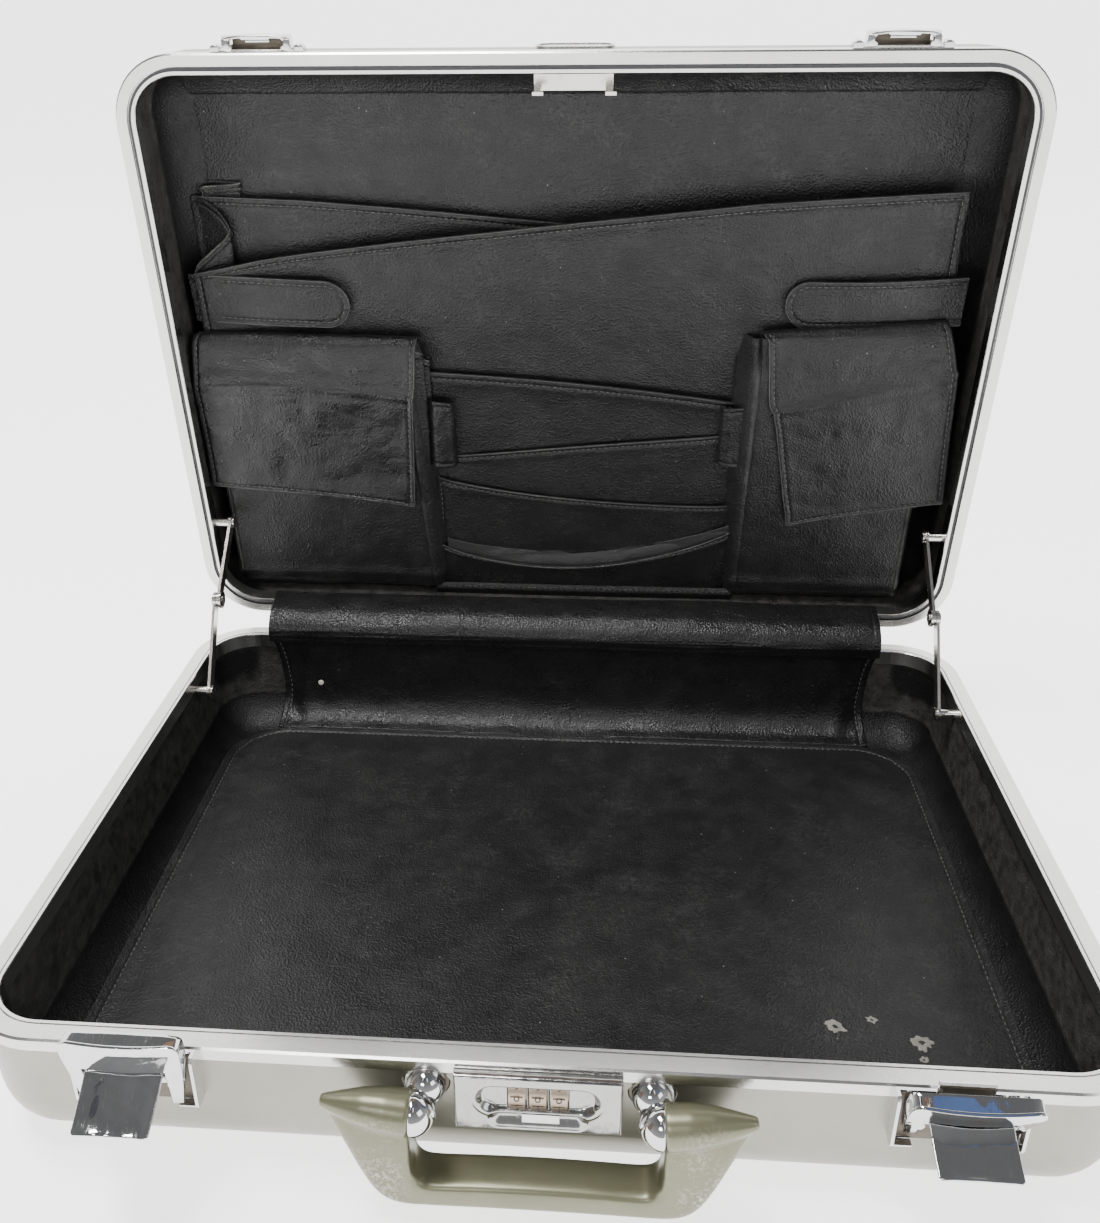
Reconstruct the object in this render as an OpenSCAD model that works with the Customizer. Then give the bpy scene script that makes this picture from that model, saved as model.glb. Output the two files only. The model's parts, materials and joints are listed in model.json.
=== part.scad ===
// Aluminium attache case, standing open: drawn shells, extruded frames, draw latches, combination lock,
// folding handle, lid stays and a lined interior with file and tool pockets.
// Most modules are written in the rim frame: x to the right, y towards the hinges, z up from the rim line.
// Lid pieces are written as they lie with the lid shut, and on_lid() swings them open.

/* [Case] */
// Width over the frames
case_w = 458; // [440:1:480]
// Depth over the frames
case_d = 330; // [320:1:345]
// Height of the base below the rim line
base_h = 66; // [64:1:74]
// Height of the lid above the rim line
lid_h = 55; // [54:1:64]
// Outer radius of the upright corners
corner_r = 34; // [33:1:38]
// Radius of the long edges of both shells
edge_r = 28; // [26:1:29]
// Sheet thickness of the shells
shell_t = 1.5; // [1:0.1:2]
// How far the shell walls lean in over their height
draft = 3; // [1:0.5:4]
// Opening angle of the lid as it stands
lid_open = 82.3; // [0:0.1:82.3]

/* [Frame] */
// Width of both rim frames
frame_w = 10; // [9:0.5:11]
// Half of the gap between the shut frames
rim_gap = 0.25; // [0.2:0.05:0.5]
// How far the shells sit behind the frames' outer faces
shell_inset = 1.2; // [1:0.1:1.4]

/* [Hinges] */
// Distance of the hinge line behind the frames
hinge_back = 7.2; // [7:0.1:9]
// Width of one hinge
hinge_w = 48; // [40:1:60]
// Distance between hinge centres
hinge_pitch = 130; // [110:1:140]

/* [Latches] */
// Distance of each latch from the middle of the case
latch_x = 153.3; // [130:0.1:160]
// How far the left latch cover stands open
left_cover_open = 8; // [0:1:30]
// How far the right latch cover stands open
right_cover_open = 28; // [0:1:30]
// How far the left lever is lifted off its cover
left_lever_open = 68; // [0:1:110]
// How far the right lever is lifted off its cover
right_lever_open = 98; // [0:1:110]

/* [Handle] */
// Half the width between the horns' tips
horn_tip_x = 80; // [74:1:84]
// Where the horns end beside the posts
horn_root_x = 46.8; // [45:0.1:48]
// Thickness of the grip
grip_t = 17; // [14:0.5:17]
// Drop of the grip's underside below the pivot
grip_drop = 40.5; // [38:0.5:44]

/* [Stays] */
// Distance of the stays from the middle of the case
stay_x = 210; // [208:0.5:211]

/* [Hidden] */
$fn = 64;

half_w = case_w / 2;
half_d = case_d / 2;
core_x = half_w - corner_r;
core_y = half_d - corner_r;
shell_r = corner_r - shell_inset;
rim_r = corner_r - frame_w;
wall_lean = atan(draft / base_h);
leg_t = 1.4;
leg_depth = 9;
lip_depth = 6;
liner_r = rim_r + 2;
hinge_y = half_d + hinge_back;

// Stays: studs on the base and on the lid, and where the knee stands with the lid open
stud_base = [half_d - 62.7, -10.3];
stud_lid = [half_d - 62.6, 6.2];
knee = [half_d - 34, 36];
lower_inner_x = stay_x + 0.2;
upper_inner_x = stay_x - 1.8;
arm_t = 1.6;

// Handle pivot and latch pivot, as distances in front of the frame and heights
handle_u = 10.5;
handle_z = -15.7;
latch_pin_u = 6.5;
latch_pin_z = -8;
latch_pin_r = 1.1;

// Lock
dial_r = 7.4;
dial_w = 6.2;
dial_pitch = 7.9;
dial_y = -half_d + 3.6;
dial_z = -14.8;
case_half = 24;

// y of a point that stands u in front of the frames' front face
function front(u) = -half_d - u;
// y of the base's and the lid's front wall at height z
function base_front(z) = front(-shell_inset + z * tan(wall_lean));
function lid_front(z) = front(-shell_inset - z * tan(wall_lean));
// Where a point of the shut lid stands once the lid is open
function opened(p) = [
    hinge_y + (p[0] - hinge_y) * cos(lid_open) + p[1] * sin(lid_open),
    -(p[0] - hinge_y) * sin(lid_open) + p[1] * cos(lid_open)];

// ---- Placing and sweeping ----

module at_rim() translate([0, 0, base_h]) children();

module turned_about(y, z, angle)
    translate([0, y, z]) rotate([angle, 0, 0]) translate([0, -y, -z]) children();

module on_lid() at_rim() turned_about(hinge_y, 0, -lid_open) children();

module both_sides() {
    children();
    mirror([1, 0, 0]) children();
}

// Extrudes a flat shape drawn in y and z along x
module along_x(from, to) translate([from, 0, 0]) rotate([90, 0, 90]) linear_extrude(to - from) children();

module rod_x(from, to, r, y, z) translate([from, y, z]) rotate([0, 90, 0]) cylinder(r = r, h = to - from);

// Sweeps a profile round the case: its x runs outwards from the corner centres and its y is height
module around() {
    for (i = [0 : 3]) {
        a = i % 2 == 0 ? core_x : core_y;
        b = i % 2 == 0 ? core_y : core_x;
        rotate(90 * i) translate([a, b, 0]) {
            rotate_extrude(angle = 90) children();
            rotate([90, 0, 0]) linear_extrude(2 * b) children();
        }
    }
}

module core_slab(z, t) translate([-core_x, -core_y, z]) cube([2 * core_x, 2 * core_y, t]);

// Half section of a drawn pan of depth h: wall radius r at the rim, leaning in, with a rounded bottom edge
module pan_section(h, r, edge) {
    cy = edge - h;
    cx = r + cy * tan(wall_lean) - edge / cos(wall_lean);
    polygon([[0, 0], [r, 0], [cx + edge * cos(wall_lean), cy - edge * sin(wall_lean)], [cx, cy], [cx, -h],
        [0, -h]]);
    intersection() {
        translate([cx, cy]) circle(edge);
        translate([0, -h]) square([r, h]);
    }
}

// A drawn pan with an outer and an inner surface and an open top that ends at height top
module pan(h, r, edge, t, top) {
    around() difference() {
        pan_section(h, r, edge);
        pan_section(h - t, r - t, edge - t);
        translate([0, top]) square([r + 1, h]);
        translate([-1, t - h]) square([1, h]);
    }
    core_slab(-h, t);
}

// ---- Base ----

module lock_window(grow) translate([-case_half - grow, front(4), -27.3 - grow])
    cube([2 * (case_half + grow), 24 + grow, 20.9 + 2 * grow]);

module base_shell() color("#a8a698") at_rim() difference() {
    pan(base_h, shell_r, edge_r, shell_t, -3);
    lock_window(0.2);
}

// The extrusion that both rims share: bead, bands, outer lip over the shell and inner leg over the lining
module frame_section(groove_from, groove_to, groove_depth) polygon([
    [rim_r, -leg_depth], [rim_r, -rim_gap - 0.4], [rim_r + 0.4, -rim_gap], [groove_from, -rim_gap],
    [groove_from, -groove_depth], [groove_to, -groove_depth], [groove_to, -rim_gap],
    [corner_r - 0.8, -rim_gap], [corner_r, -rim_gap - 0.8], [corner_r, -lip_depth],
    [corner_r - shell_inset, -lip_depth], [corner_r - shell_inset, -3], [rim_r + leg_t, -3],
    [rim_r + leg_t, -leg_depth]]);

module base_frame() color("#c9c8c2") at_rim() difference() {
    around() frame_section(rim_r + 1.7, rim_r + 2.4, 1.2);
    both_sides() rod_x(half_w - frame_w - 1, half_w - frame_w + 3, 2.8, stud_base[0], stud_base[1]);
}

module base_lining() color("#1d1d1f") at_rim() difference() {
    pan(base_h - shell_t - 0.3, shell_r - shell_t - 0.3, edge_r - 2, 5, -leg_depth - 0.2);
    translate([0, 0, 5 - base_h + shell_t + 0.3]) mirror([0, 0, 1]) core_slab(0, 2.8);
    lock_window(0.5);
}

module base_floor_pad() color("#202022") at_rim() translate([0, 0, -58.9])
    linear_extrude(3) hull() for (sx = [-1, 1], y = [-105, 100]) translate([sx * 170, y]) circle(32);

module hinge_cover_base() color("#1b1b1d") at_rim() along_x(-190, 190) polygon([
    [half_d - 10.2, -1.5], [half_d - 12.2, -1.5], [half_d - 13.2, -30], [half_d - 24, -46],
    [half_d - 22.6, -47], [half_d - 11.6, -31]]);

// ---- Hinges ----

knuckle_r = 3.2;
hinge_pin_r = 1.6;
function hinge_xs() = [for (i = [-1 : 1]) i * hinge_pitch];

module knuckles(x, first) {
    fifth = hinge_w / 5;
    for (i = [first : 2 : 4]) {
        x0 = x - hinge_w / 2 + i * fifth + 0.15;
        difference() {
            union() {
                rod_x(x0, x0 + fifth - 0.3, knuckle_r, hinge_y, 0);
                along_x(x0, x0 + fifth - 0.3) polygon([[half_d, -2.2], [half_d, -6.6],
                    [half_d + 1.4, -6.6], [hinge_y - 0.4, -knuckle_r + 0.1], [hinge_y - 2.6, -0.6]]);
            }
            rod_x(x0 - 1, x0 + fifth + 1, hinge_pin_r + 0.05, hinge_y, 0);
        }
    }
}

// One leaf: knuckles and a plate over the frame's lip, padded out to the shell below it
module hinge_leaf(x, first) {
    knuckles(x, first);
    along_x(x - hinge_w / 2, x + hinge_w / 2) polygon([[half_d, -2.2], [half_d + 1.4, -3.4],
        [half_d + 1.4, -21], [-base_front(-21), -21], [-base_front(-6.1), -6.1], [half_d, -6.1]]);
}

module hinge_rivet_heads() for (x = hinge_xs(), dx = [-16, 0, 16])
    translate([x + dx, half_d + 1.4, -15]) rotate([-90, 0, 0]) {
        cylinder(r = 2.4, h = 0.5);
        translate([0, 0, 0.5]) cylinder(r = 1.6, h = 0.4);
    }

module hinge_leaves_base() color("#b9b9b6") at_rim() for (x = hinge_xs()) hinge_leaf(x, 0);

module hinge_leaves_lid() color("#b9b9b6") on_lid() mirror([0, 0, 1]) for (x = hinge_xs()) hinge_leaf(x, 1);

module hinge_pins() color("#8f8f8f") at_rim() for (x = hinge_xs())
    rod_x(x - hinge_w / 2 + 0.2, x + hinge_w / 2 - 0.2, hinge_pin_r, hinge_y, 0);

module hinge_rivets_base() color("#cfcfcc") at_rim() hinge_rivet_heads();

module hinge_rivets_lid() color("#cfcfcc") on_lid() mirror([0, 0, 1]) hinge_rivet_heads();

// ---- Latches ----

plate_half = 24;
plate_top = -1;
plate_low = -27;
ear_x = 16.4;
ear_t = 1.6;
lever_half = 15.3;

// Tray riveted to the base: back plate, rim flanges, ears for the pin and a tongue that enters the keeper
module latch_plate(x) translate([x, 0, 0]) difference() {
    union() {
        along_x(-plate_half, plate_half) polygon([[front(0), plate_top], [front(1.2), plate_top],
            [front(1.2), plate_low], [base_front(plate_low), plate_low], [base_front(-6.1), -6.1],
            [front(0), -6.1]]);
        both_sides() along_x(plate_half - 1.2, plate_half) polygon([[front(1), plate_top],
            [front(4), plate_top], [front(5), plate_top - 2], [front(5), plate_low + 2],
            [front(4), plate_low], [front(1), plate_low]]);
        along_x(-plate_half, plate_half) polygon([[front(1), plate_low], [front(1), plate_low + 1.2],
            [front(4.4), plate_low + 1.2], [front(4), plate_low]]);
        both_sides() along_x(ear_x, ear_x + ear_t) {
            polygon([[front(1), latch_pin_z - 3], [front(1), latch_pin_z + 3],
                [front(latch_pin_u), latch_pin_z + 2.1], [front(latch_pin_u), latch_pin_z - 2.1]]);
            translate([front(latch_pin_u), latch_pin_z]) circle(2.1);
        }
        along_x(-10, 10) polygon([[front(1), -9], [front(3.4), -6], [front(3.4), 4.8],
            [front(3), 5.8], [front(2.2), 5.8], [front(1.8), 4.8], [front(1.8), plate_top],
            [front(1), plate_top]]);
    }
    rod_x(-ear_x - 4, ear_x + 4, latch_pin_r, front(latch_pin_u), latch_pin_z);
    stand_off(-4, 6) translate([-16, plate_low - 1]) square([32, 6.5]);
}

module latch_plate_left() color("silver") at_rim() latch_plate(-latch_x);

module latch_plate_right() color("silver") at_rim() latch_plate(latch_x);

module latch_pins() color("#8f8f8f") at_rim() both_sides()
    rod_x(latch_x - 21.6, latch_x + 21.6, latch_pin_r, front(latch_pin_u), latch_pin_z);

// Leaf spring under each cover, one strip bent clear of the plate
module latch_springs() color("#6f6a5e") at_rim() both_sides() along_x(latch_x - 6, latch_x + 6)
    polygon([[front(1.2), -11], [front(1.6), -11], [front(1.6), -16], [front(2.4), -20.4],
        [front(2), -20.6], [front(1.2), -16.2]]);

module latch_rivets() color("#cfcfcc") at_rim() both_sides() for (dx = [-13.5, 13.5], z = [-12.5, -18.5])
    translate([latch_x + dx, front(1.2), z]) rotate([90, 0, 0]) cylinder(r = 1.8, h = 0.6);

cover_u = 10.2;
cover_t = 1.2;
cover_top = 12;
cover_low = -20;

// Outline of the cover seen from the front, shrunk by inset
module cover_outline(inset) polygon([
    [-22.6 + inset, cover_top - inset], [22.6 - inset, cover_top - inset], [22.3 - inset, -4],
    [21.2 - inset, -14], [19.6 - inset, cover_low + inset], [-19.6 + inset, cover_low + inset],
    [-21.2 + inset, -14], [-22.3 + inset, -4]]);

// Extrudes an outline drawn in x and z between two distances in front of the frame
module stand_off(from, to) translate([0, front(from), 0]) rotate([90, 0, 0]) linear_extrude(to - from)
    children();

module latch_cover(x, angle) translate([x, 0, 0]) turned_about(front(latch_pin_u), latch_pin_z, angle)
    difference() {
        union() {
            stand_off(cover_u - cover_t, cover_u) difference() {
                cover_outline(0);
                translate([-15.9, cover_low - 1]) square([31.8, 19.5]);
            }
            stand_off(3.2, cover_u) intersection() {
                difference() {
                    cover_outline(0);
                    cover_outline(cover_t);
                }
                both_sides() translate([18, -0.5]) square([8, 20]);
            }
            stand_off(3.8, cover_u) translate([-22, cover_top - cover_t]) square([44, cover_t]);
            stand_off(5, cover_u) intersection() {
                difference() {
                    cover_outline(0);
                    cover_outline(cover_t);
                }
                both_sides() translate([18, -11]) square([8, 11]);
            }
            stand_off(7.6, cover_u - cover_t) translate([-17, cover_low + 3]) square([34, 6]);
            stand_off(7.6, cover_u) both_sides() translate([16.2, cover_low + 3]) square([3.2, 6]);
        }
        rod_x(-25, 25, latch_pin_r + 0.05, front(latch_pin_u), latch_pin_z);
    }

// Hook plate inside the cover: its lip drops behind the keeper's arch
module latch_claw(x, angle) translate([x, 0, 0]) turned_about(front(latch_pin_u), latch_pin_z, angle)
    along_x(-15.5, 15.5) polygon([[front(cover_u - cover_t), -2], [front(7.8), -2], [front(7.8), 9.7],
        [front(5.8), 9.7], [front(5.8), 10.8], [front(cover_u - cover_t), 10.8]]);

// Thumb lever: barrel on the pin, rolled top and a plate that lies flush in the cover
module latch_lever(x, angle) translate([x, 0, 0]) turned_about(front(latch_pin_u), latch_pin_z, angle)
    difference() {
        union() {
            rod_x(-lever_half, lever_half, 2.3, front(latch_pin_u), latch_pin_z);
            along_x(-lever_half, lever_half) {
                polygon([[front(latch_pin_u), latch_pin_z - 2], [front(latch_pin_u), latch_pin_z + 2],
                    [front(9.2), latch_pin_z + 1.8], [front(9.2), latch_pin_z - 2]]);
                translate([front(9.2), latch_pin_z]) circle(1.8);
            }
            stand_off(9.4, 11) polygon([[-lever_half, latch_pin_z], [lever_half, latch_pin_z],
                [14.4, -29], [12.6, -30.5], [-12.6, -30.5], [-14.4, -29]]);
        }
        rod_x(-20, 20, latch_pin_r + 0.05, front(latch_pin_u), latch_pin_z);
    }

module latch_cover_left() color("silver") at_rim() latch_cover(-latch_x, left_cover_open);

module latch_cover_right() color("silver") at_rim() latch_cover(latch_x, right_cover_open);

module latch_claw_left() color("#b5b5b5") at_rim() latch_claw(-latch_x, left_cover_open);

module latch_claw_right() color("#b5b5b5") at_rim() latch_claw(latch_x, right_cover_open);

module latch_lever_left() color("silver") at_rim()
    latch_lever(-latch_x, left_cover_open - left_lever_open);

module latch_lever_right() color("silver") at_rim()
    latch_lever(latch_x, right_cover_open - right_lever_open);

// ---- Keepers, badge and lock catch on the lid ----

// Arched staple on the lid's front that the claw hooks over
module keeper(x) translate([x, 0, 0]) {
    along_x(-23, 23) polygon([[front(0), 3], [front(1.2), 3], [front(1.2), 10.4], [lid_front(10.4), 10.4],
        [lid_front(6.1), 6.1], [front(0), 6.1]]);
    both_sides() translate([20.6, front(1.2), 6.8]) rotate([90, 0, 0]) cylinder(r = 2.4, h = 1.2);
    stand_off(1, 7.4) both_sides() translate([15.3, 3.4]) square([1.2, 5.8]);
    stand_off(6.4, 7.4) translate([-16.5, 3.4]) square([33, 5.8]);
}

module keeper_left() color("#b9b9b6") on_lid() keeper(-latch_x);

module keeper_right() color("#b9b9b6") on_lid() keeper(latch_x);

// Plain oval badge on the lid's front wall
module badge() color("#9a9a96") on_lid() translate([0, lid_front(22), 22])
    rotate([90 - wall_lean, 0, 0]) translate([0, 0, 0.02]) difference() {
        linear_extrude(1.8) for (sx = [-1, 1]) {
            translate([sx * 11.5, 0]) circle(8);
            translate([-11.5, -8]) square([23, 16]);
        }
        translate([0, 0, 1.3]) linear_extrude(1) for (sx = [-1, 1]) {
            translate([sx * 11.5, 0]) circle(6.6);
            translate([-11.5, -6.6]) square([23, 13.2]);
        }
    }

catch_y = front(-16);

// Striker on the lid's front lip: a plate with two hooked prongs that drop into the lock case
module lock_catch() color("#b9b5a8") on_lid() {
    translate([-19, front(-frame_w - 0.1), 0.6]) cube([38, 7.4, 1.4]);
    translate([-19, front(-frame_w - 0.1), 2]) cube([38, 1.2, 5]);
    for (x = [-19, 15.4]) {
        translate([x, catch_y - 0.8, -15]) cube([3.6, 1.6, 16]);
        translate([x + 3.2, catch_y - 0.8, -15]) cube([2, 1.6, 1.8]);
    }
}

// ---- Handle ----

// Chrome fitting: a flange and stem on the wall carrying a dome that faces away from the horn
module handle_post() difference() {
    union() {
        translate([40, base_front(handle_z) + 1, handle_z]) rotate([90, 0, 0]) cylinder(r = 7, h = 3);
        translate([40, base_front(handle_z) + 1, handle_z]) rotate([90, 0, 0]) cylinder(r = 4.6, h = 12.6);
        translate([horn_root_x - 0.4, front(handle_u), handle_z]) rotate([0, -90, 0]) rotate_extrude()
            intersection() {
                circle(8.3);
                square(9);
            }
    }
    along_x(30, 50) polygon([[base_front(0), 0], [base_front(-40), -40], [base_front(0) + 9, -40],
        [base_front(0) + 9, 0]]);
    rod_x(horn_root_x - 6, horn_root_x + 1, 2.5, front(handle_u), handle_z);
}

module handle_post_left() color("silver") at_rim() mirror([1, 0, 0]) handle_post();

module handle_post_right() color("silver") at_rim() handle_post();

module handle_pins() color("#8f8f8f") at_rim() both_sides()
    rod_x(horn_root_x - 6, horn_root_x + 12, 2.5, front(handle_u), handle_z);

grip_low = handle_z - grip_drop;

// Front view of the handle: two flares that carry the grip
module handle_outline() both_sides() polygon([[-1, grip_low + 13], [horn_root_x - 4, grip_low + 13],
    [horn_root_x, grip_low + 17], [horn_root_x, handle_z + 2], [horn_tip_x - 1, handle_z + 3.6],
    [horn_tip_x - 17, grip_low + 9], [horn_tip_x - 24, grip_low + 1.8], [horn_tip_x - 30, grip_low],
    [-1, grip_low]]);

// Side view of the handle: flat faces and a half-round underside
module handle_side() {
    r = grip_t / 2;
    translate([front(handle_u), grip_low + r]) circle(r);
    translate([front(handle_u) - r, grip_low + r]) square([grip_t, 60]);
}

// Horns are tapered barrels that run into the flares and turn on the pins
module handle() color("#8d8c6c") at_rim() difference() {
    union() {
        intersection() {
            translate([0, front(handle_u) + grip_t, 0]) rotate([90, 0, 0]) linear_extrude(2 * grip_t)
                handle_outline();
            along_x(-horn_tip_x - 1, horn_tip_x + 1) handle_side();
        }
        both_sides() translate([horn_root_x - 1, front(handle_u), handle_z]) rotate([0, 98, 0])
            cylinder(r1 = 8.1, r2 = 2.6, h = horn_tip_x - horn_root_x);
    }
    both_sides() {
        translate([horn_root_x - 12, front(handle_u) - 10, handle_z - 12]) cube([12, 20, 24]);
        rod_x(horn_root_x - 1, horn_root_x + 12.2, 2.55, front(handle_u), handle_z);
    }
}

// ---- Lock ----

// Stadium outline, centred on x, for the scoops in the lock plate
module scoop(half, low, high) {
    r = (high - low) / 2;
    both_sides() translate([half - r, low + r]) circle(r);
    translate([r - half, low]) square([2 * (half - r), high - low]);
}

module lock_plate() color("silver") at_rim() difference() {
    along_x(-31.5, 31.5) polygon([[front(0), -2.9], [front(3.2), -2.9], [front(4), -3.9],
        [front(4), -29.4], [front(3.2), -30.4], [base_front(-30.4), -30.4], [base_front(-6.1), -6.1],
        [front(0), -6.1]]);
    stand_off(1.2, 5) scoop(21, -20.3, -8.3);
    stand_off(0.9, 5) scoop(18, -27.9, -20.7);
    for (i = [-1 : 1]) rod_x(i * dial_pitch - 3.4, i * dial_pitch + 3.4, dial_r + 0.3, dial_y, dial_z);
    translate([-8, front(2), -25.3]) cube([12, 5, 2.9]);
}

module lock_case() color("#3a3a3c") at_rim() difference() {
    translate([-case_half, front(-3.2), -27.3]) cube([2 * case_half, 15.8, 17.9]);
    translate([1.2 - case_half, front(-1), -26.1]) cube([2 * case_half - 2.4, 16.8, 15.5]);
    translate([-12.4, front(-1), -12]) cube([24.8, 9.6, 4]);
    for (x = [-20.2, 14.2]) translate([x, catch_y - 1.5, -12]) cube([7.6, 3, 4]);
    rod_x(-case_half - 1, case_half + 1, 1.5, dial_y, dial_z);
}

module lock_axle() color("#8f8f8f") at_rim() rod_x(-case_half, case_half, 1.5, dial_y, dial_z);

// Number wheel with ten finger grooves
module dial(i) at_rim() translate([i * dial_pitch, dial_y, dial_z]) difference() {
    rod_x(-dial_w / 2, dial_w / 2, dial_r, 0, 0);
    rod_x(-dial_w, dial_w, 1.55, 0, 0);
    for (k = [0 : 9]) rotate([36 * k + 18, 0, 0]) translate([-dial_w / 2 + 0.8, dial_r - 0.5, -0.5])
        cube([dial_w - 1.6, 1, 1]);
}

module dial_1() color("#b08a5c") dial(-1);

module dial_2() color("#b08a5c") dial(0);

module dial_3() color("#b08a5c") dial(1);

// Thumb slide: button in the lower scoop, arm under the wheels and bolt plate that slides over the hooks
module lock_slide() color("#6b6b6b") at_rim() {
    translate([-6, front(3.4), -26]) cube([14, 2, 4.2]);
    translate([-3, front(2), -24.9]) cube([6, 18, 2]);
    translate([-3, dial_y + dial_r + 0.6, -24.9]) cube([6, 2, 12.9]);
    difference() {
        translate([-12.4, catch_y - 3, -12.6]) cube([35, 4.6, 1.2]);
        translate([11, catch_y - 1.3, -13]) cube([10.6, 2.6, 2]);
    }
}

// ---- Stays ----

module stud(outer, inner, head_r, y, z) {
    rod_x(inner + 1.8, outer, 2.6, y, z);
    rod_x(inner, inner + 1.8, 1.8, y, z);
    rod_x(inner - 1.2, inner, head_r, y, z);
}

module stay_studs_base() color("#c9c7c0") at_rim() both_sides()
    stud(half_w - frame_w + 1.2, lower_inner_x - 0.1, 3.4, stud_base[0], stud_base[1]);

module stay_studs_lid() color("#c9c7c0") on_lid() both_sides()
    stud(half_w - frame_w + 1.4, upper_inner_x - 0.1, 3.4, stud_lid[0], stud_lid[1]);

// Flat arm with round ends between two points, drilled at its first end
module arm(x0, a, b, wide) {
    d = b - a;
    length = norm(d);
    translate([x0, a[0], a[1]]) rotate([atan2(d[1], d[0]), 0, 0]) difference() {
        rotate([90, 0, 90]) linear_extrude(arm_t) {
            circle(wide);
            translate([length, 0]) circle(wide);
            translate([0, -wide * 0.78]) square([length, wide * 1.56]);
        }
        rod_x(-1, arm_t + 1, 1.85, 0, 0);
    }
}

module stay_lower() {
    arm(lower_inner_x, stud_base, knee, 4.4);
    rod_x(lower_inner_x + arm_t, lower_inner_x + arm_t + 0.9, 3.2, knee[0], knee[1]);
}

module stay_upper() {
    arm(upper_inner_x, opened(stud_lid), knee, 4.4);
    rod_x(upper_inner_x - 1.3, upper_inner_x, 5.2, knee[0], knee[1]);
    rod_x(upper_inner_x - 2, upper_inner_x - 1.3, 3, knee[0], knee[1]);
}

module stay_lower_left() color("#c9c7c0") at_rim() mirror([1, 0, 0]) stay_lower();

module stay_lower_right() color("#c9c7c0") at_rim() stay_lower();

module stay_upper_left() color("#c9c7c0") at_rim() mirror([1, 0, 0]) stay_upper();

module stay_upper_right() color("#c9c7c0") at_rim() stay_upper();

// ---- Lid ----

module lid_shell() color("#a8a698") on_lid() mirror([0, 0, 1]) pan(lid_h, shell_r, edge_r, shell_t, -3);

seal_from = rim_r + 2;
seal_to = rim_r + 4.2;
seal_depth = 2.2;

module lid_frame() color("#c9c8c2") on_lid() difference() {
    mirror([0, 0, 1]) around() frame_section(seal_from, seal_to, seal_depth);
    both_sides() rod_x(half_w - frame_w - 1, half_w - frame_w + 3, 2.7, stud_lid[0], stud_lid[1]);
}

module lid_seal() color("#2c2d30") on_lid() around()
    polygon([[seal_from + 0.02, 0.7], [seal_to - 0.7, 0.7], [seal_to - 0.7, seal_depth],
        [seal_from + 0.02, seal_depth]]);

module lid_lining() color("#1d1d1f") on_lid() mirror([0, 0, 1])
    pan(lid_h - shell_t - 0.3, shell_r - shell_t - 0.3, edge_r - 2, 3, -leg_depth - 0.2);

module hinge_cover_lid() color("#1b1b1d") on_lid() along_x(-190, 190)
    polygon([[half_d - 10.2, 1.5], [half_d - 12.2, 1.5], [half_d - 12.2, 9], [half_d - 10.2, 9]]);

// ---- Pockets in the lid, all as flat closed solids ----

// Extrudes an outline drawn in x and y between two heights of the shut lid
module layer(from, to) translate([0, 0, from]) linear_extrude(to - from) children();

module file_divider() color("#1d1d1f") on_lid() layer(43.5, 45.5)
    polygon([[-203, -86], [203, -58], [203, 130], [-203, 130]]);

module file_panel() color("#222224") on_lid() layer(31, 33.5)
    polygon([[-206, -48], [-70, -66], [206, -92], [206, 152], [-206, 152]]);

module file_gusset() color("#19191b") on_lid() layer(33.8, 43.2) both_sides()
    polygon([[192, -48], [205, -48], [205, 130], [192, 130]]);

module strap(sx) layer(28, 30.6) {
    translate([sx > 0 ? 132 : -212, -44]) square([80, 27]);
    translate([sx * 132, -30.5]) circle(13.5);
}

module strap_left() color("#222224") on_lid() strap(-1);

module strap_right() color("#222224") on_lid() strap(1);

module pocket_left() color("#1d1d1f") on_lid() layer(17.6, 30.6)
    polygon([[-206, -14], [-84, -14], [-84, 155], [-206, 155]]);

module pocket_right() color("#1d1d1f") on_lid() layer(17.6, 30.6)
    polygon([[101, -16.6], [205, -16.6], [203, 155], [101, 155]]);

module pocket_flap_left() color("#242426") on_lid() layer(15, 17.2)
    polygon([[-206, -14], [-89, -14], [-95, 94], [-206, 82]]);

module pocket_flap_right() color("#242426") on_lid() layer(15, 17.2)
    polygon([[105, -17], [205, -25], [206, 84], [128, 101]]);

module organiser() color("#1d1d1f") on_lid() layer(25.5, 30.6)
    polygon([[-84, 12], [99, 28], [99, 154], [-84, 154]]);

module organiser_pockets() color("#222224") on_lid() {
    layer(22.8, 25.2) polygon([[-70, 65], [86, 49], [98, 154], [-82, 154]]);
    layer(20.2, 22.6) polygon([[-82, 79], [98, 95], [98, 154], [-82, 154]]);
    layer(17.6, 20) polygon([[-82, 125], [-5, 137], [98, 110], [98, 155], [-82, 155]]);
}

module pen_loops() color("#242426") on_lid() {
    layer(17.8, 22.4) translate([-83, 29]) square([11, 36]);
    layer(20.4, 22.4) translate([-83, 65]) square([11, 5]);
    layer(17.8, 22.4) translate([87, 26]) square([11, 22]);
}

base_shell();
base_frame();
base_lining();
base_floor_pad();
hinge_cover_base();
hinge_leaves_base();
hinge_pins();
hinge_rivets_base();
latch_plate_left();
latch_plate_right();
latch_pins();
latch_springs();
latch_rivets();
handle_post_left();
handle_post_right();
handle_pins();
lock_plate();
lock_case();
lock_axle();
stay_studs_base();
lid_shell();
lid_frame();
lid_seal();
lid_lining();
hinge_cover_lid();
hinge_leaves_lid();
hinge_rivets_lid();
keeper_left();
keeper_right();
badge();
lock_catch();
stay_studs_lid();
file_divider();
file_panel();
file_gusset();
strap_left();
strap_right();
pocket_left();
pocket_right();
organiser();
organiser_pockets();
pen_loops();
pocket_flap_left();
pocket_flap_right();
handle();
latch_cover_left();
latch_cover_right();
latch_claw_left();
latch_claw_right();
latch_lever_left();
latch_lever_right();
dial_1();
dial_2();
dial_3();
lock_slide();
stay_lower_left();
stay_lower_right();
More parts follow.
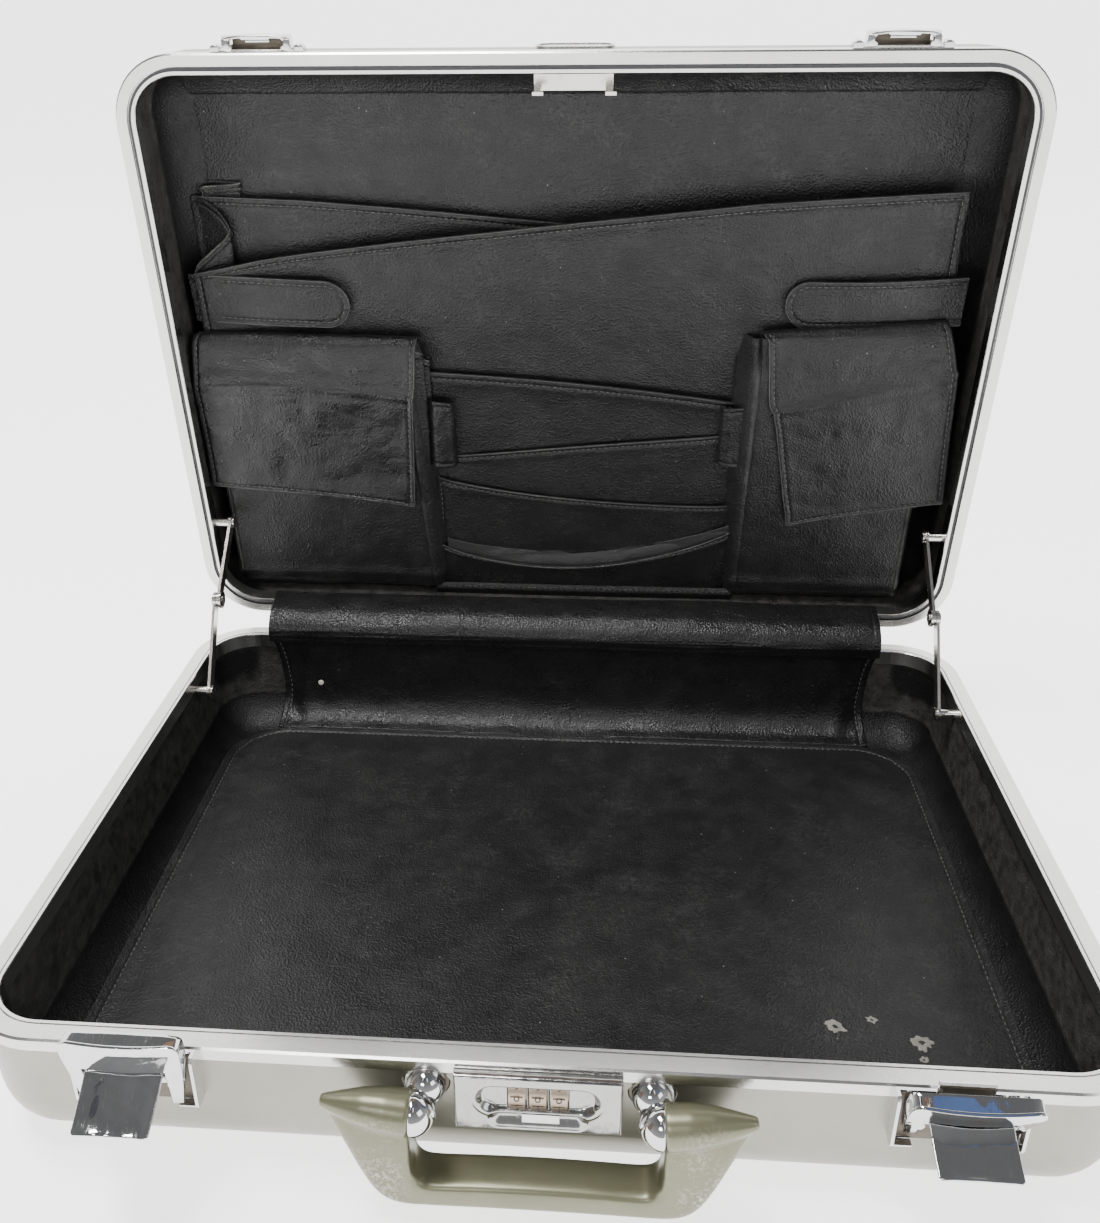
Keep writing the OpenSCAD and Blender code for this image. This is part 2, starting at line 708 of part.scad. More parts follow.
stay_upper_left();
stay_upper_right();
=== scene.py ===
import json
import math

import bpy
import numpy as np
from mathutils import Matrix, Vector


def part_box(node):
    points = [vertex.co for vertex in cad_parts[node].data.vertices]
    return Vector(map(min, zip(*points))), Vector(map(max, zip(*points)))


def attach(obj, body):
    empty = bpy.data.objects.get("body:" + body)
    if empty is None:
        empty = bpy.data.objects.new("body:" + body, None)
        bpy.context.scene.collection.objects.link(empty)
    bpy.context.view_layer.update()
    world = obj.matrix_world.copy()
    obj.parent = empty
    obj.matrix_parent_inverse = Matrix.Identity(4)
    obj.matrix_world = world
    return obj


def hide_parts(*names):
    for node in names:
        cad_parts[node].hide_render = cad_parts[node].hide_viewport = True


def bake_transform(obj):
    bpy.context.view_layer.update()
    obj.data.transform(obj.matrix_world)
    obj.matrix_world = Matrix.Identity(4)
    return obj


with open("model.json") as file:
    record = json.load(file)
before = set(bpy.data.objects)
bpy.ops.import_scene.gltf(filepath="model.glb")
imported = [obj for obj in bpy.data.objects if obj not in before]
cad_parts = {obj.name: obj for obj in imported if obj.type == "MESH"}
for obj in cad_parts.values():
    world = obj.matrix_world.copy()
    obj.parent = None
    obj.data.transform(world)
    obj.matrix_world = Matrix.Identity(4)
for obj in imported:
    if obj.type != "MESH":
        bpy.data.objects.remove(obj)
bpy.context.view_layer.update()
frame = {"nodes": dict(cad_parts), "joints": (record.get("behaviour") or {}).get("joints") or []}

joint = {j["name"]: j for j in frame["joints"]}
HINGE = [1000 * v for v in joint["lid_hinge"]["pos_m"]]
RIM = HINGE[2]
HY = HINGE[1]
OPEN = math.radians(joint["lid_hinge"]["range_deg"][1])
CO, SO = math.cos(OPEN), math.sin(OPEN)
rng = np.random.default_rng(11)
scene = bpy.context.scene

# Driving sizes in millimetres: the shut rims' front face, the latches, the horns and the floor's padded panel
FRONT = -165
LATCH_X = 153.3
HORN_Y, HORN_Z, HORN_X = -175.5, -15.7, 46.4
FLOOR_W, FLOOR_NEAR, FLOOR_FAR, FLOOR_Z, FLOOR_SEAM = 414.0, -146.0, 137.0, -57.4, 4.5
BACKING_W = 419.2


# ---- Places. Lengths below are millimetres from the rim line; the lid's are as it lies when shut ----

def base_at(p):
    """Millimetres on the base to metres in the frame."""
    p = np.asarray(p, float)
    return (p + np.array([0, 0, RIM])) / 1000


def lid_at(p):
    """Millimetres on the shut lid to metres in the frame, with the lid open as stored."""
    p = np.asarray(p, float)
    y = HY + (p[..., 1] - HY) * CO + p[..., 2] * SO
    z = -(p[..., 1] - HY) * SO + p[..., 2] * CO
    return base_at(np.stack([p[..., 0], y, z], -1))


def hash01(i, j, seed):
    h = np.sin(i * 127.1 + j * 311.7 + seed * 74.7) * 43758.5453
    return h - np.floor(h)


def noise(x, y, cell, seed=0):
    """Smooth noise from -1 to 1 with features about cell wide."""
    x, y = np.asarray(x, float) / cell, np.asarray(y, float) / cell
    i, j = np.floor(x), np.floor(y)
    a, b = x - i, y - j
    a, b = a * a * (3 - 2 * a), b * b * (3 - 2 * b)
    top = hash01(i, j, seed) * (1 - a) + hash01(i + 1, j, seed) * a
    low = hash01(i, j + 1, seed) * (1 - a) + hash01(i + 1, j + 1, seed) * a
    return 2 * (top * (1 - b) + low * b) - 1


def fractal(x, y, cell, seed=0, steps=3):
    """Noise with finer noise on it."""
    return sum(noise(x, y, cell / 2 ** k, seed + 17 * k) / 1.9 ** k for k in range(steps))


def creases(x, y, angle, long_cell, cross_cell, seed):
    """Sharp-sided soft creases running along angle, from 0 to 1."""
    c, s = math.cos(angle), math.sin(angle)
    u, v = (x * c + y * s) / long_cell, (y * c - x * s) / cross_cell
    v = v + 0.6 * noise(u, v, 1.0, seed + 3)
    return (1 - np.abs(noise(u, v, 1.0, seed))) ** 4


def bell(d, width):
    return np.exp(-((d / width) ** 2))


def smooth(t):
    t = np.clip(t, 0, 1)
    return t * t * (3 - 2 * t)


def rounded(d, r):
    """How far a sheet's face falls back d millimetres in from an edge of radius r."""
    t = np.clip(r - d, 0, r)
    return r - np.sqrt(np.maximum(r * r - t * t, 0))


def hem(d, seam=3.6):
    """Relief beside a turned and stitched edge: the hem stands up, the seam pulls in."""
    return 0.35 * smooth((seam + 0.2 - d) / 1.2) - 0.5 * bell(d - seam, 0.55) + 0.3 * bell(d - seam - 2.2,
        1.6) - rounded(d, 1.1)


def grid(a, b):
    """Two parameters at every crossing of a and b."""
    return np.meshgrid(a, b, indexing="ij")


def xyz(x, y, z):
    """Points from arrays of their coordinates."""
    return np.stack(np.broadcast_arrays(x, y, z), -1)


def spread(length, step):
    """Parameters along a side of this length, packed close beside both ends."""
    edge = [0, 0.2, 0.5, 0.8, 1.2, 1.9, 2.6, 3.1, 3.6, 4.1, 4.8, 5.8, 7.2]
    inner = np.linspace(edge[-1], length - edge[-1], max(3, int((length - 2 * edge[-1]) / step) + 1))
    return np.unique(np.concatenate([edge, inner, length - np.array(edge)])) / length


def curve(points, t):
    """A Catmull-Rom curve through the points, at shares t of their count."""
    p = np.asarray(points, float)
    p = np.concatenate([[2 * p[0] - p[1]], p, [2 * p[-1] - p[-2]]])
    n = len(p) - 3
    x = np.clip(np.asarray(t, float), 0, 1) * n
    i = np.minimum(x.astype(int), n - 1)
    f = (x - i)[..., None]
    a, b, c, d = p[i], p[i + 1], p[i + 2], p[i + 3]
    return 0.5 * (2 * b + (c - a) * f + (2 * a - 5 * b + 4 * c - d) * f ** 2 + (3 * b - a - 3 * c + d)
        * f ** 3)


# ---- Meshes ----

def make(name, verts, faces, material, body=None, node=None):
    """A smooth-shaded object that rides a body and may stand for a CAD node."""
    mesh = bpy.data.meshes.new(name)
    mesh.from_pydata(np.asarray(verts, float).reshape(-1, 3).tolist(), [], faces)
    mesh.update()
    mesh.polygons.foreach_set("use_smooth", [True] * len(mesh.polygons))
    mesh.materials.append(material)
    ob = bpy.data.objects.new(name, mesh)
    scene.collection.objects.link(ob)
    if body:
        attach(ob, body)
    if node:
        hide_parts(node)
    return ob


def normals(p):
    n = np.cross(np.gradient(p, axis=0), np.gradient(p, axis=1))
    return n / np.maximum(np.linalg.norm(n, axis=-1, keepdims=True), 1e-12)


def skin(name, p, thick, material, body, node=None, flip=False):
    """A closed sheet from a grid of points in metres on its face, thick millimetres through."""
    n = normals(p) * (-1 if flip else 1)
    back = p - n * thick / 1000
    a, b = p.shape[:2]
    verts = np.concatenate([p.reshape(-1, 3), back.reshape(-1, 3)])
    i, j = grid(np.arange(a - 1), np.arange(b - 1))
    q = (i * b + j).ravel()
    front = np.stack([q, q + b, q + b + 1, q + 1], 1)
    rear = front[:, ::-1] + a * b
    ring = np.concatenate([np.arange(b - 1), (np.arange(a - 1) * b + b - 1), (a * b - 1 - np.arange(b - 1)),
                           ((a - 1) * b - np.arange(a - 1) * b)])
    nxt = np.roll(ring, -1)
    side = np.stack([ring, nxt, nxt + a * b, ring + a * b], 1)
    faces = np.concatenate([front, rear, side])
    if flip:
        faces = faces[:, ::-1]
    return make(name, verts, faces.tolist(), material, body, node)


thread = {}


def stitches(key, path, out, pitch=3.4, length=2.3, r=0.3, lift=0.2):
    """Stitches along a path of points in metres; out is the outward normal at each."""
    s = np.concatenate([[0], np.cumsum(np.linalg.norm(np.diff(path, axis=0), axis=1))]) * 1000
    if s[-1] < pitch * 2:
        return
    at = np.arange(pitch * 0.7, s[-1] - pitch * 0.5, pitch)
    centre = np.stack([np.interp(at, s, path[:, k]) for k in range(3)], -1)
    normal = np.stack([np.interp(at, s, out[:, k]) for k in range(3)], -1)
    normal /= np.linalg.norm(normal, axis=1, keepdims=True)
    ahead = np.stack([np.interp(at + 0.8, s, path[:, k]) - np.interp(at - 0.8, s,
        path[:, k]) for k in range(3)], -1)
    ahead /= np.linalg.norm(ahead, axis=1, keepdims=True)
    side = np.cross(ahead, normal)
    for c, d, e, n in zip(centre, ahead, side, normal):
        d = d + e * rng.normal(0, 0.07)
        ring = []
        for t, w in ((-1, 0.15), (-0.75, 0.8), (0, 1), (0.75, 0.8), (1, 0.15)):
            sink = -0.35 * t * t
            for a in range(6):
                v = 2 * math.pi * a / 6
                ring.append(c + (d * t * length / 2 + e * math.cos(v) * r * w + n
                    * (math.sin(v) * r * w + lift + sink * r * 2)) / 1000)
        thread.setdefault(key, []).append(ring)


edge_highlights = {}


def bead(key, path, r=0.42):
    """A painted highlight on an edge: a thin, lighter round line along a path in metres."""
    ahead = np.gradient(path, axis=0)
    ahead /= np.linalg.norm(ahead, axis=1, keepdims=True)
    side = np.cross(ahead, [0.31, 0.2, 0.93])
    side /= np.linalg.norm(side, axis=1, keepdims=True)
    over = np.cross(ahead, side)
    a = np.arange(6) * math.pi / 3
    wob = r * (1 + 0.25 * noise(np.arange(len(path)), 0 * path[:, 0], 6.0, 3))[:, None, None]
    rings = path[:, None] + (side[:, None] * np.cos(a)[None, :, None] + over[:, None] * np.sin(a)[None, :,
        None]) * wob / 1000
    edge_highlights.setdefault(key, []).append(rings)


def string(name, key, material, body):
    """One object from all the painted edge highlights kept under key."""
    verts, faces = [], []
    for rings in edge_highlights.pop(key):
        o, m = len(verts), len(rings)
        verts += rings.reshape(-1, 3).tolist()
        faces += [[o + i * 6 + a, o + i * 6 + (a + 1) % 6, o + i * 6 + 6 + (a + 1) % 6,
            o + i * 6 + 6 + a] for i in range(m - 1) for a in range(6)]
        faces += [[o + a for a in range(5, -1, -1)], [o + 6 * (m - 1) + a for a in range(6)]]
    return make(name, verts, faces, material, body)


def sew(name, key, material, body=None):
    """One object from all the stitches kept under key."""
    rings = np.array(thread.pop(key))
    faces = []
    for k in range(len(rings)):
        o = k * 30
        for i in range(4):
            for a in range(6):
                b = (a + 1) % 6
                faces.append([o + i * 6 + a, o + i * 6 + b, o + i * 6 + 6 + b, o + i * 6 + 6 + a])
        faces.append([o + a for a in range(5, -1, -1)])
        faces.append([o + 24 + a for a in range(6)])
    return make(name, rings, faces, material, body)


def loft(name, rings, material, body=None, node=None, caps=True):
    """A closed tube through equal rings of points in metres."""
    rings = np.asarray(rings, float)
    m, n = rings.shape[:2]
    faces = [[i * n + a, i * n + (a + 1) % n, (i + 1) * n + (a + 1) % n, (i + 1) * n + a]
             for i in range(m - 1) for a in range(n)]
    if caps:
        faces.append([a for a in range(n - 1, -1, -1)])
        faces.append([(m - 1) * n + a for a in range(n)])
    return make(name, rings, faces, material, body, node)


def lathe(name, profile, centre, axis, material, body=None, node=None, sides=40):
    """Turns a profile of (distance along the axis, radius) in millimetres about an axis through centre."""
    axis = np.asarray(axis, float) / np.linalg.norm(axis)
    u = np.cross(axis, [0.3, 0.2, 1.0])
    u /= np.linalg.norm(u)
    v = np.cross(axis, u)
    a = np.arange(sides) * 2 * math.pi / sides
    rings = [np.asarray(centre) + axis * t + r * (np.outer(np.cos(a), u) + np.outer(np.sin(a), v)) for t,
        r in profile]
    return loft(name, base_at(np.array(rings)), material, body, node)


def bevelled(ob, width, segments=3, angle=35):
    """Rounds the edges sharper than angle, width millimetres across."""
    m = ob.modifiers.new("bevel", "BEVEL")
    m.width = width / 1000
    m.segments = segments
    m.limit_method = "ANGLE"
    m.angle_limit = math.radians(angle)
    m.harden_normals = False
    return ob


# ---- Materials ----

class Shader:
    """A material built from short calls; at is the object's own coordinates."""

    def __init__(self, name):
        self.m = bpy.data.materials.new(name)
        self.m.use_nodes = True
        self.t = self.m.node_tree
        self.p = self.t.nodes["Principled BSDF"]
        self.at = self.new("ShaderNodeTexCoord").outputs["Object"]

    def new(self, kind, **values):
        n = self.t.nodes.new(kind)
        for k, v in values.items():
            setattr(n, k, v)
        return n

    def put(self, socket, value):
        if isinstance(value, bpy.types.NodeSocket):
            self.t.links.new(value, socket)
        else:
            socket.default_value = value

    def set(self, **values):
        names = {"base": "Base Color", "metal": "Metallic", "rough": "Roughness", "coat": "Coat Weight",
                 "coat_rough": "Coat Roughness", "spec": "Specular IOR Level", "sheen": "Sheen Weight",
                 "normal": "Normal"}
        for k, v in values.items():
            if k == "base" and not isinstance(v, bpy.types.NodeSocket):
                v = (*v, 1)
            self.put(self.p.inputs[names[k]], v)
        return self

    def scaled(self, x, y, z):
        n = self.new("ShaderNodeMapping")
        n.inputs["Scale"].default_value = (x, y, z)
        self.put(n.inputs["Vector"], self.at)
        return n.outputs["Vector"]

    def noise(self, scale, detail=3, rough=0.55, at=None, distort=0):
        n = self.new("ShaderNodeTexNoise")
        self.put(n.inputs["Vector"], at or self.at)
        n.inputs["Scale"].default_value = scale
        n.inputs["Detail"].default_value = detail
        n.inputs["Roughness"].default_value = rough
        n.inputs["Distortion"].default_value = distort
        return n.outputs["Fac"]

    def cells(self, scale, feature="F1", at=None, out="Distance"):
        n = self.new("ShaderNodeTexVoronoi", feature=feature)
        self.put(n.inputs["Vector"], at or self.at)
        n.inputs["Scale"].default_value = scale
        return n.outputs[out]

    def ramp(self, value, lo, hi, a=0.0, b=1.0):
        n = self.new("ShaderNodeMapRange", clamp=True)
        self.put(n.inputs["Value"], value)
        for k, v in (("From Min", lo), ("From Max", hi), ("To Min", a), ("To Max", b)):
            n.inputs[k].default_value = v
        return n.outputs["Result"]

    def maths(self, kind, a, b):
        n = self.new("ShaderNodeMath", operation=kind)
        self.put(n.inputs[0], a)
        self.put(n.inputs[1], b)
        return n.outputs[0]

    def mix(self, share, a, b):
        n = self.new("ShaderNodeMix", data_type="RGBA")
        self.put(n.inputs[0], share)
        self.put(n.inputs[6], a if isinstance(a, bpy.types.NodeSocket) else (*a, 1))
        self.put(n.inputs[7], b if isinstance(b, bpy.types.NodeSocket) else (*b, 1))
        return n.outputs[2]

    def bump(self, *layers):
        last = None
        for height, strength, distance in layers:
            n = self.new("ShaderNodeBump")
            n.inputs["Strength"].default_value = strength
            n.inputs["Distance"].default_value = distance
            self.put(n.inputs["Height"], height)
            if last:
                self.put(n.inputs["Normal"], last)
            last = n.outputs["Normal"]
        return last


def leather(name, tone=0.006, rough=0.38, dust=1.0, edge_sheen_level=1.0, grain=1.0):
    """Pebbled black leather, lightened on bent edges as a painted sheen, with a film of dust and single
    specks.
    """
    s = Shader(name)
    big = s.noise(9, 4, 0.6)
    cloud = s.noise(45, 4, 0.65)
    pebble = s.cells(900)
    fine = s.noise(1900, 2, 0.6)
    pores = s.cells(1500, "DISTANCE_TO_EDGE")
    colour = s.mix(s.ramp(big, 0.35, 0.7), (tone * 0.72, tone * 0.72, tone * 0.76),
        (tone * 1.3, tone * 1.28, tone * 1.25))
    # Bent edges turn grey: a painted sheen for the light the hems catch.
    bent = s.new("ShaderNodeNewGeometry").outputs["Pointiness"]
    edge_sheen = s.maths("MULTIPLY", s.ramp(bent, 0.55, 0.68, 0, 0.75 * edge_sheen_level),
        s.ramp(s.noise(160, 3), 0.3, 0.65, 0.25, 1))
    colour = s.mix(edge_sheen, colour, (0.26, 0.25, 0.23))
    film = s.maths("MULTIPLY", s.ramp(cloud, 0.45, 0.8), s.ramp(s.noise(420, 3, 0.7), 0.4, 0.7))
    colour = s.mix(s.ramp(film, 0, 1, 0, 0.10 * dust), colour, (0.30, 0.29, 0.27))
    speck = s.cells(260, at=s.at)
    lone = s.cells(260, out="Color")
    pick = s.new("ShaderNodeSeparateColor")
    s.put(pick.inputs[0], lone)
    grains = s.maths("MULTIPLY", s.ramp(speck, 0.05, 0.11, 1, 0),
        s.ramp(pick.outputs[0], 0.93, 0.94, 0, 0.55 * dust))
    colour = s.mix(grains, colour, (0.42, 0.40, 0.36))
    shine = s.ramp(s.noise(70, 5, 0.7), 0.3, 0.75, rough - 0.09, rough + 0.14)
    s.set(base=colour, rough=shine, spec=0.40, sheen=0.03 * dust,
          normal=s.bump((pebble, 0.75 * grain, 0.0004), (pores, 0.5 * grain, 0.00015), (fine, 0.35, 0.0001),
              (s.noise(130, 4, 0.6), 0.4, 0.001)))
    return s.m


def satin(name, base, rough, grain=(1, 1, 1), marks=1.0, stain=None, metal=1.0):
    """Satin metal with fine drawn grain, rubs, small pits and a little dirt."""
    s = Shader(name)
    lines = s.noise(1300, 2, 0.6, s.scaled(*grain))
    cloud = s.noise(26, 4, 0.6)
    dirt = s.maths("MULTIPLY", s.ramp(s.noise(55, 5, 0.75), 0.55, 0.75), s.ramp(s.noise(300, 3), 0.4, 0.65))
    colour = s.mix(s.ramp(cloud, 0.35, 0.7), tuple(v * 0.88 for v in base), base)
    colour = s.mix(s.ramp(dirt, 0, 1, 0, 0.45 * marks), colour, stain or (0.24, 0.20, 0.14))
    colour = s.mix(s.ramp(s.cells(330), 0.05, 0.09, 0.25 * marks, 0), colour, (0.28, 0.24, 0.18))
    shine = s.maths("ADD", s.ramp(lines, 0.3, 0.7, rough - 0.04, rough + 0.04),
        s.ramp(cloud, 0.5, 0.8, 0, 0.07 * marks))
    s.set(base=colour, metal=metal, rough=shine,
        normal=s.bump((lines, 0.03, 0.0001), (s.noise(30, 3), 0.06, 0.001)))
    return s.m


def chrome(name, tarnish=0.5, rough=0.07, base=(0.60, 0.60, 0.60)):
    """Polished plating with hair scratches, pits and brown tarnish."""
    s = Shader(name)
    cloud = s.noise(120, 5, 0.7)
    scratch = s.noise(1400, 2, 0.6, s.scaled(1, 0.08, 0.25), 0.4)
    scratch2 = s.noise(1100, 2, 0.6, s.scaled(0.1, 0.3, 1), 0.6)
    pits = s.cells(520)
    dirt = s.maths("MULTIPLY", s.ramp(cloud, 0.5, 0.72), s.ramp(s.noise(700, 3, 0.7), 0.4, 0.62))
    colour = s.mix(s.ramp(dirt, 0, 1, 0, tarnish), base, (0.30, 0.24, 0.17))
    colour = s.mix(s.ramp(pits, 0.08, 0.16, 0.6 * tarnish, 0), colour, (0.16, 0.12, 0.09))
    shine = s.maths("ADD", s.ramp(scratch, 0.55, 0.75, rough, rough + 0.12),
        s.ramp(dirt, 0, 1, 0, 0.3 * tarnish))
    s.set(base=colour, metal=1.0, rough=shine,
          normal=s.bump((scratch2, 0.04, 0.0001), (s.noise(75, 2), 0.30, 0.0012), (pits, 0.08, 0.0001)))
    return s.m


def plain(name, base, rough, metal=0.0, spec=0.5, bump=0.15, scale=600):
    """One colour, mottled and finely rough."""
    s = Shader(name)
    n = s.noise(scale, 4, 0.6)
    dark = tuple(v * 0.7 for v in base)
    s.set(base=s.mix(s.ramp(s.noise(scale / 8, 4), 0.35, 0.7), dark, base),
        rough=s.ramp(n, 0.3, 0.7, rough - 0.08, rough + 0.08),
          metal=metal, spec=spec, normal=s.bump((n, bump, 0.0002)))
    return s.m


def painted(name):
    """Olive metallic paint, chipped low on the outer ends and rubbed along its edges."""
    s = Shader(name)
    base = (0.16, 0.157, 0.095)
    cloud = s.noise(30, 4, 0.6)
    colour = s.mix(s.ramp(cloud, 0.35, 0.68), tuple(v * 0.85 for v in base), base)
    sep = s.new("ShaderNodeSeparateXYZ")
    s.put(sep.inputs[0], s.at)
    side = s.ramp(s.maths("ABSOLUTE", sep.outputs[0], 0.0), 0.046, 0.060)
    low = s.ramp(sep.outputs[2], 0.012, 0.045, 1, 0.25)
    front = s.ramp(sep.outputs[1], -0.1835, -0.179, 1, 0)
    zone = s.maths("MULTIPLY", s.maths("MULTIPLY", side, low),
        s.maths("MULTIPLY", front, s.ramp(s.noise(55, 3, 0.6), 0.40, 0.62)))
    chips = s.maths("MULTIPLY", s.ramp(s.noise(620, 4, 0.75), 0.5, 0.56), zone)
    edge = s.new("ShaderNodeNewGeometry").outputs["Pointiness"]
    rub = s.maths("MULTIPLY", s.ramp(edge, 0.53, 0.60), s.ramp(s.noise(300, 4, 0.7), 0.46, 0.56))
    bare = s.maths("MAXIMUM", s.maths("MULTIPLY", chips, 0.9), s.maths("MULTIPLY", rub, 0.55))
    colour = s.mix(bare, colour, (0.62, 0.61, 0.55))
    s.set(base=colour, metal=s.ramp(bare, 0, 1, 0.55, 1.0), rough=s.ramp(bare, 0, 1, 0.36, 0.2), coat=0.25,
        coat_rough=0.22,
          normal=s.bump((s.noise(1500, 2, 0.6), 0.08, 0.0001), (chips, 0.5, 0.0004)))
    return s.m


LEATHER = leather("leather")
LINING = leather("lining", tone=0.004, rough=0.46, dust=0.25, edge_sheen_level=0.3)
FLOOR = leather("floor_leather", tone=0.007, rough=0.44, dust=1.3, edge_sheen_level=0.6, grain=0.8)
SHINY = leather("polished_leather", tone=0.007, rough=0.3, dust=0.7, edge_sheen_level=0.4, grain=0.8)
# Lighter leather for the thin lines along hems: a painted highlight where the edges catch light.
EDGE_HIGHLIGHT = leather("painted_edge_highlight", tone=0.045, rough=0.32, dust=0.4, edge_sheen_level=0.3, grain=0.3)
# Lighter leather for the pocket's inner facing: a painted sheen in the pocket's mouth.
FACING_SHEEN = leather("pocket_facing_sheen", tone=0.03, rough=0.34, dust=0.6, edge_sheen_level=0.5, grain=0.4)
# The thread's light grey is partly its own colour and partly a painted highlight, so the stitches read as
# bright dashes.
THREAD_WITH_SHEEN = plain("thread", (0.13, 0.125, 0.115), 0.55, spec=0.4, bump=0.4, scale=2500)
FRAME_METAL = satin("frame_metal", (0.62, 0.615, 0.59), 0.22, (1, 1, 1), 0.4)
SHELL_METAL = satin("shell_metal", (0.29, 0.278, 0.238), 0.36, (0.1, 1, 1), 1.1)
CHROME = chrome("chrome", 0.35)
BRIGHT = chrome("bright_chrome", 0.12, 0.05)
PLATED = chrome("worn_plate", 0.5, 0.13, (0.36, 0.36, 0.35))
STEEL = satin("steel", (0.62, 0.61, 0.59), 0.26, (1, 0.2, 0.2), 1.0)
NICKEL = satin("nickel", (0.62, 0.60, 0.55), 0.22, (1, 0.2, 0.2), 1.2)
BLACK = plain("black_paint", (0.02, 0.02, 0.02), 0.5)
RUBBER = plain("seal_rubber", (0.035, 0.037, 0.042), 0.55, bump=0.3)
BRASS = satin("brass", (0.44, 0.35, 0.27), 0.4, (1, 1, 1), 1.0)
GRIME = plain("grime", (0.13, 0.11, 0.085), 0.4, metal=0.7, scale=900)
CRUST = plain("crust", (0.30, 0.29, 0.25), 0.8, scale=1500)
PAINT = painted("handle_paint")
PALE = plain("dial_fill", (0.75, 0.70, 0.62), 0.5)

# What the CAD's own surfaces are made of, where no finer piece stands for them
for material, names in (
    (SHELL_METAL, "base_shell lid_shell"),
    (FRAME_METAL, "base_frame lid_frame"),
    (LINING, "base_lining lid_lining"),
    (RUBBER, "lid_seal"),
    (STEEL, "hinge_leaves_base hinge_leaves_lid hinge_pins hinge_rivets_base hinge_rivets_lid latch_springs"),
    (STEEL, "latch_rivets lock_axle badge latch_claw_left latch_claw_right"),
    (CHROME, "latch_plate_left latch_plate_right latch_pins lock_plate keeper_left keeper_right lock_slide"),
    (BRIGHT, "handle_pins latch_cover_left latch_cover_right latch_lever_left latch_lever_right"),
    (BRIGHT, "handle_post_left handle_post_right"),
    (NICKEL, "stay_studs_base stay_studs_lid lock_catch stay_lower_left stay_lower_right"),
    (NICKEL, "stay_upper_left stay_upper_right"),
    (BLACK, "lock_case"),
    (BRASS, "dial_1 dial_2 dial_3"),
    (PAINT, "handle"),
):
    for name in names.split():
        mesh = frame["nodes"][name].data
        mesh.materials.clear()
        mesh.materials.append(material)


# ---- Soft goods ----

def cloth(ob):
    """Hands the sheet back unchanged. Declares a sheet. Its flat size is a square with half of the
    sheet's own surface, not a cut size.
    """
    return ob


def lid_out(p_of, u, v, du=0.004, dv=0.004):
    """Outward normals of a sheet in the lid, towards the viewer."""
    n = np.cross(lid_at(p_of(u + du, v)) - lid_at(p_of(u - du, v)),
                 lid_at(p_of(u, v + dv)) - lid_at(p_of(u, v - dv)))
    n /= np.linalg.norm(n, axis=-1, keepdims=True)
    return n * np.sign(n @ (lid_at([0, 0, -1.0]) - lid_at([0, 0, 0.0])) + 1e-9)[..., None]


def sew_line(p_of, u, v, **steps):
    """Stitches on a sheet in the lid, along a line of its parameters."""
    stitches("lid", lid_at(p_of(u, v)), lid_out(p_of, u, v, **steps))


def side_line(side, inset, w, h, t):
    """Parameters along one side of a w by h sheet, inset millimetres in from its edges."""
    a, b = inset / w, inset / h
    long, tall, still = a + (1 - 2 * a) * t, b + (1 - 2 * b) * t, 0 * t
    return {"t": (long, b + still), "b": (long, 1 - b + still), "l": (a + still, tall),
        "r": (1 - a + still, tall)}[side]


def corners(u, v, w, h, radii):
    """Rounds the corners of the unit square. Radii run round from low u and low v by way of high u."""
    x, y = u * w, v * h
    for k, r in enumerate(radii):
        if not r:
            continue
        a = x if k in (0, 3) else w - x
        b = y if k in (0, 1) else h - y
        inside = (a < r) & (b < r)
        p, q = 1 - a / r, 1 - b / r
        top, length = np.maximum(p, q), np.maximum(np.hypot(p, q), 1e-9)
        f = np.where(length > 1e-9, top / length, 1)
        a2, b2 = r * (1 - p * f), r * (1 - q * f)
        x = np.where(inside, a2 if k in (0, 3) else w - a2, x)
        y = np.where(inside, b2 if k in (0, 1) else h - b2, y)
    return x / w, y / h


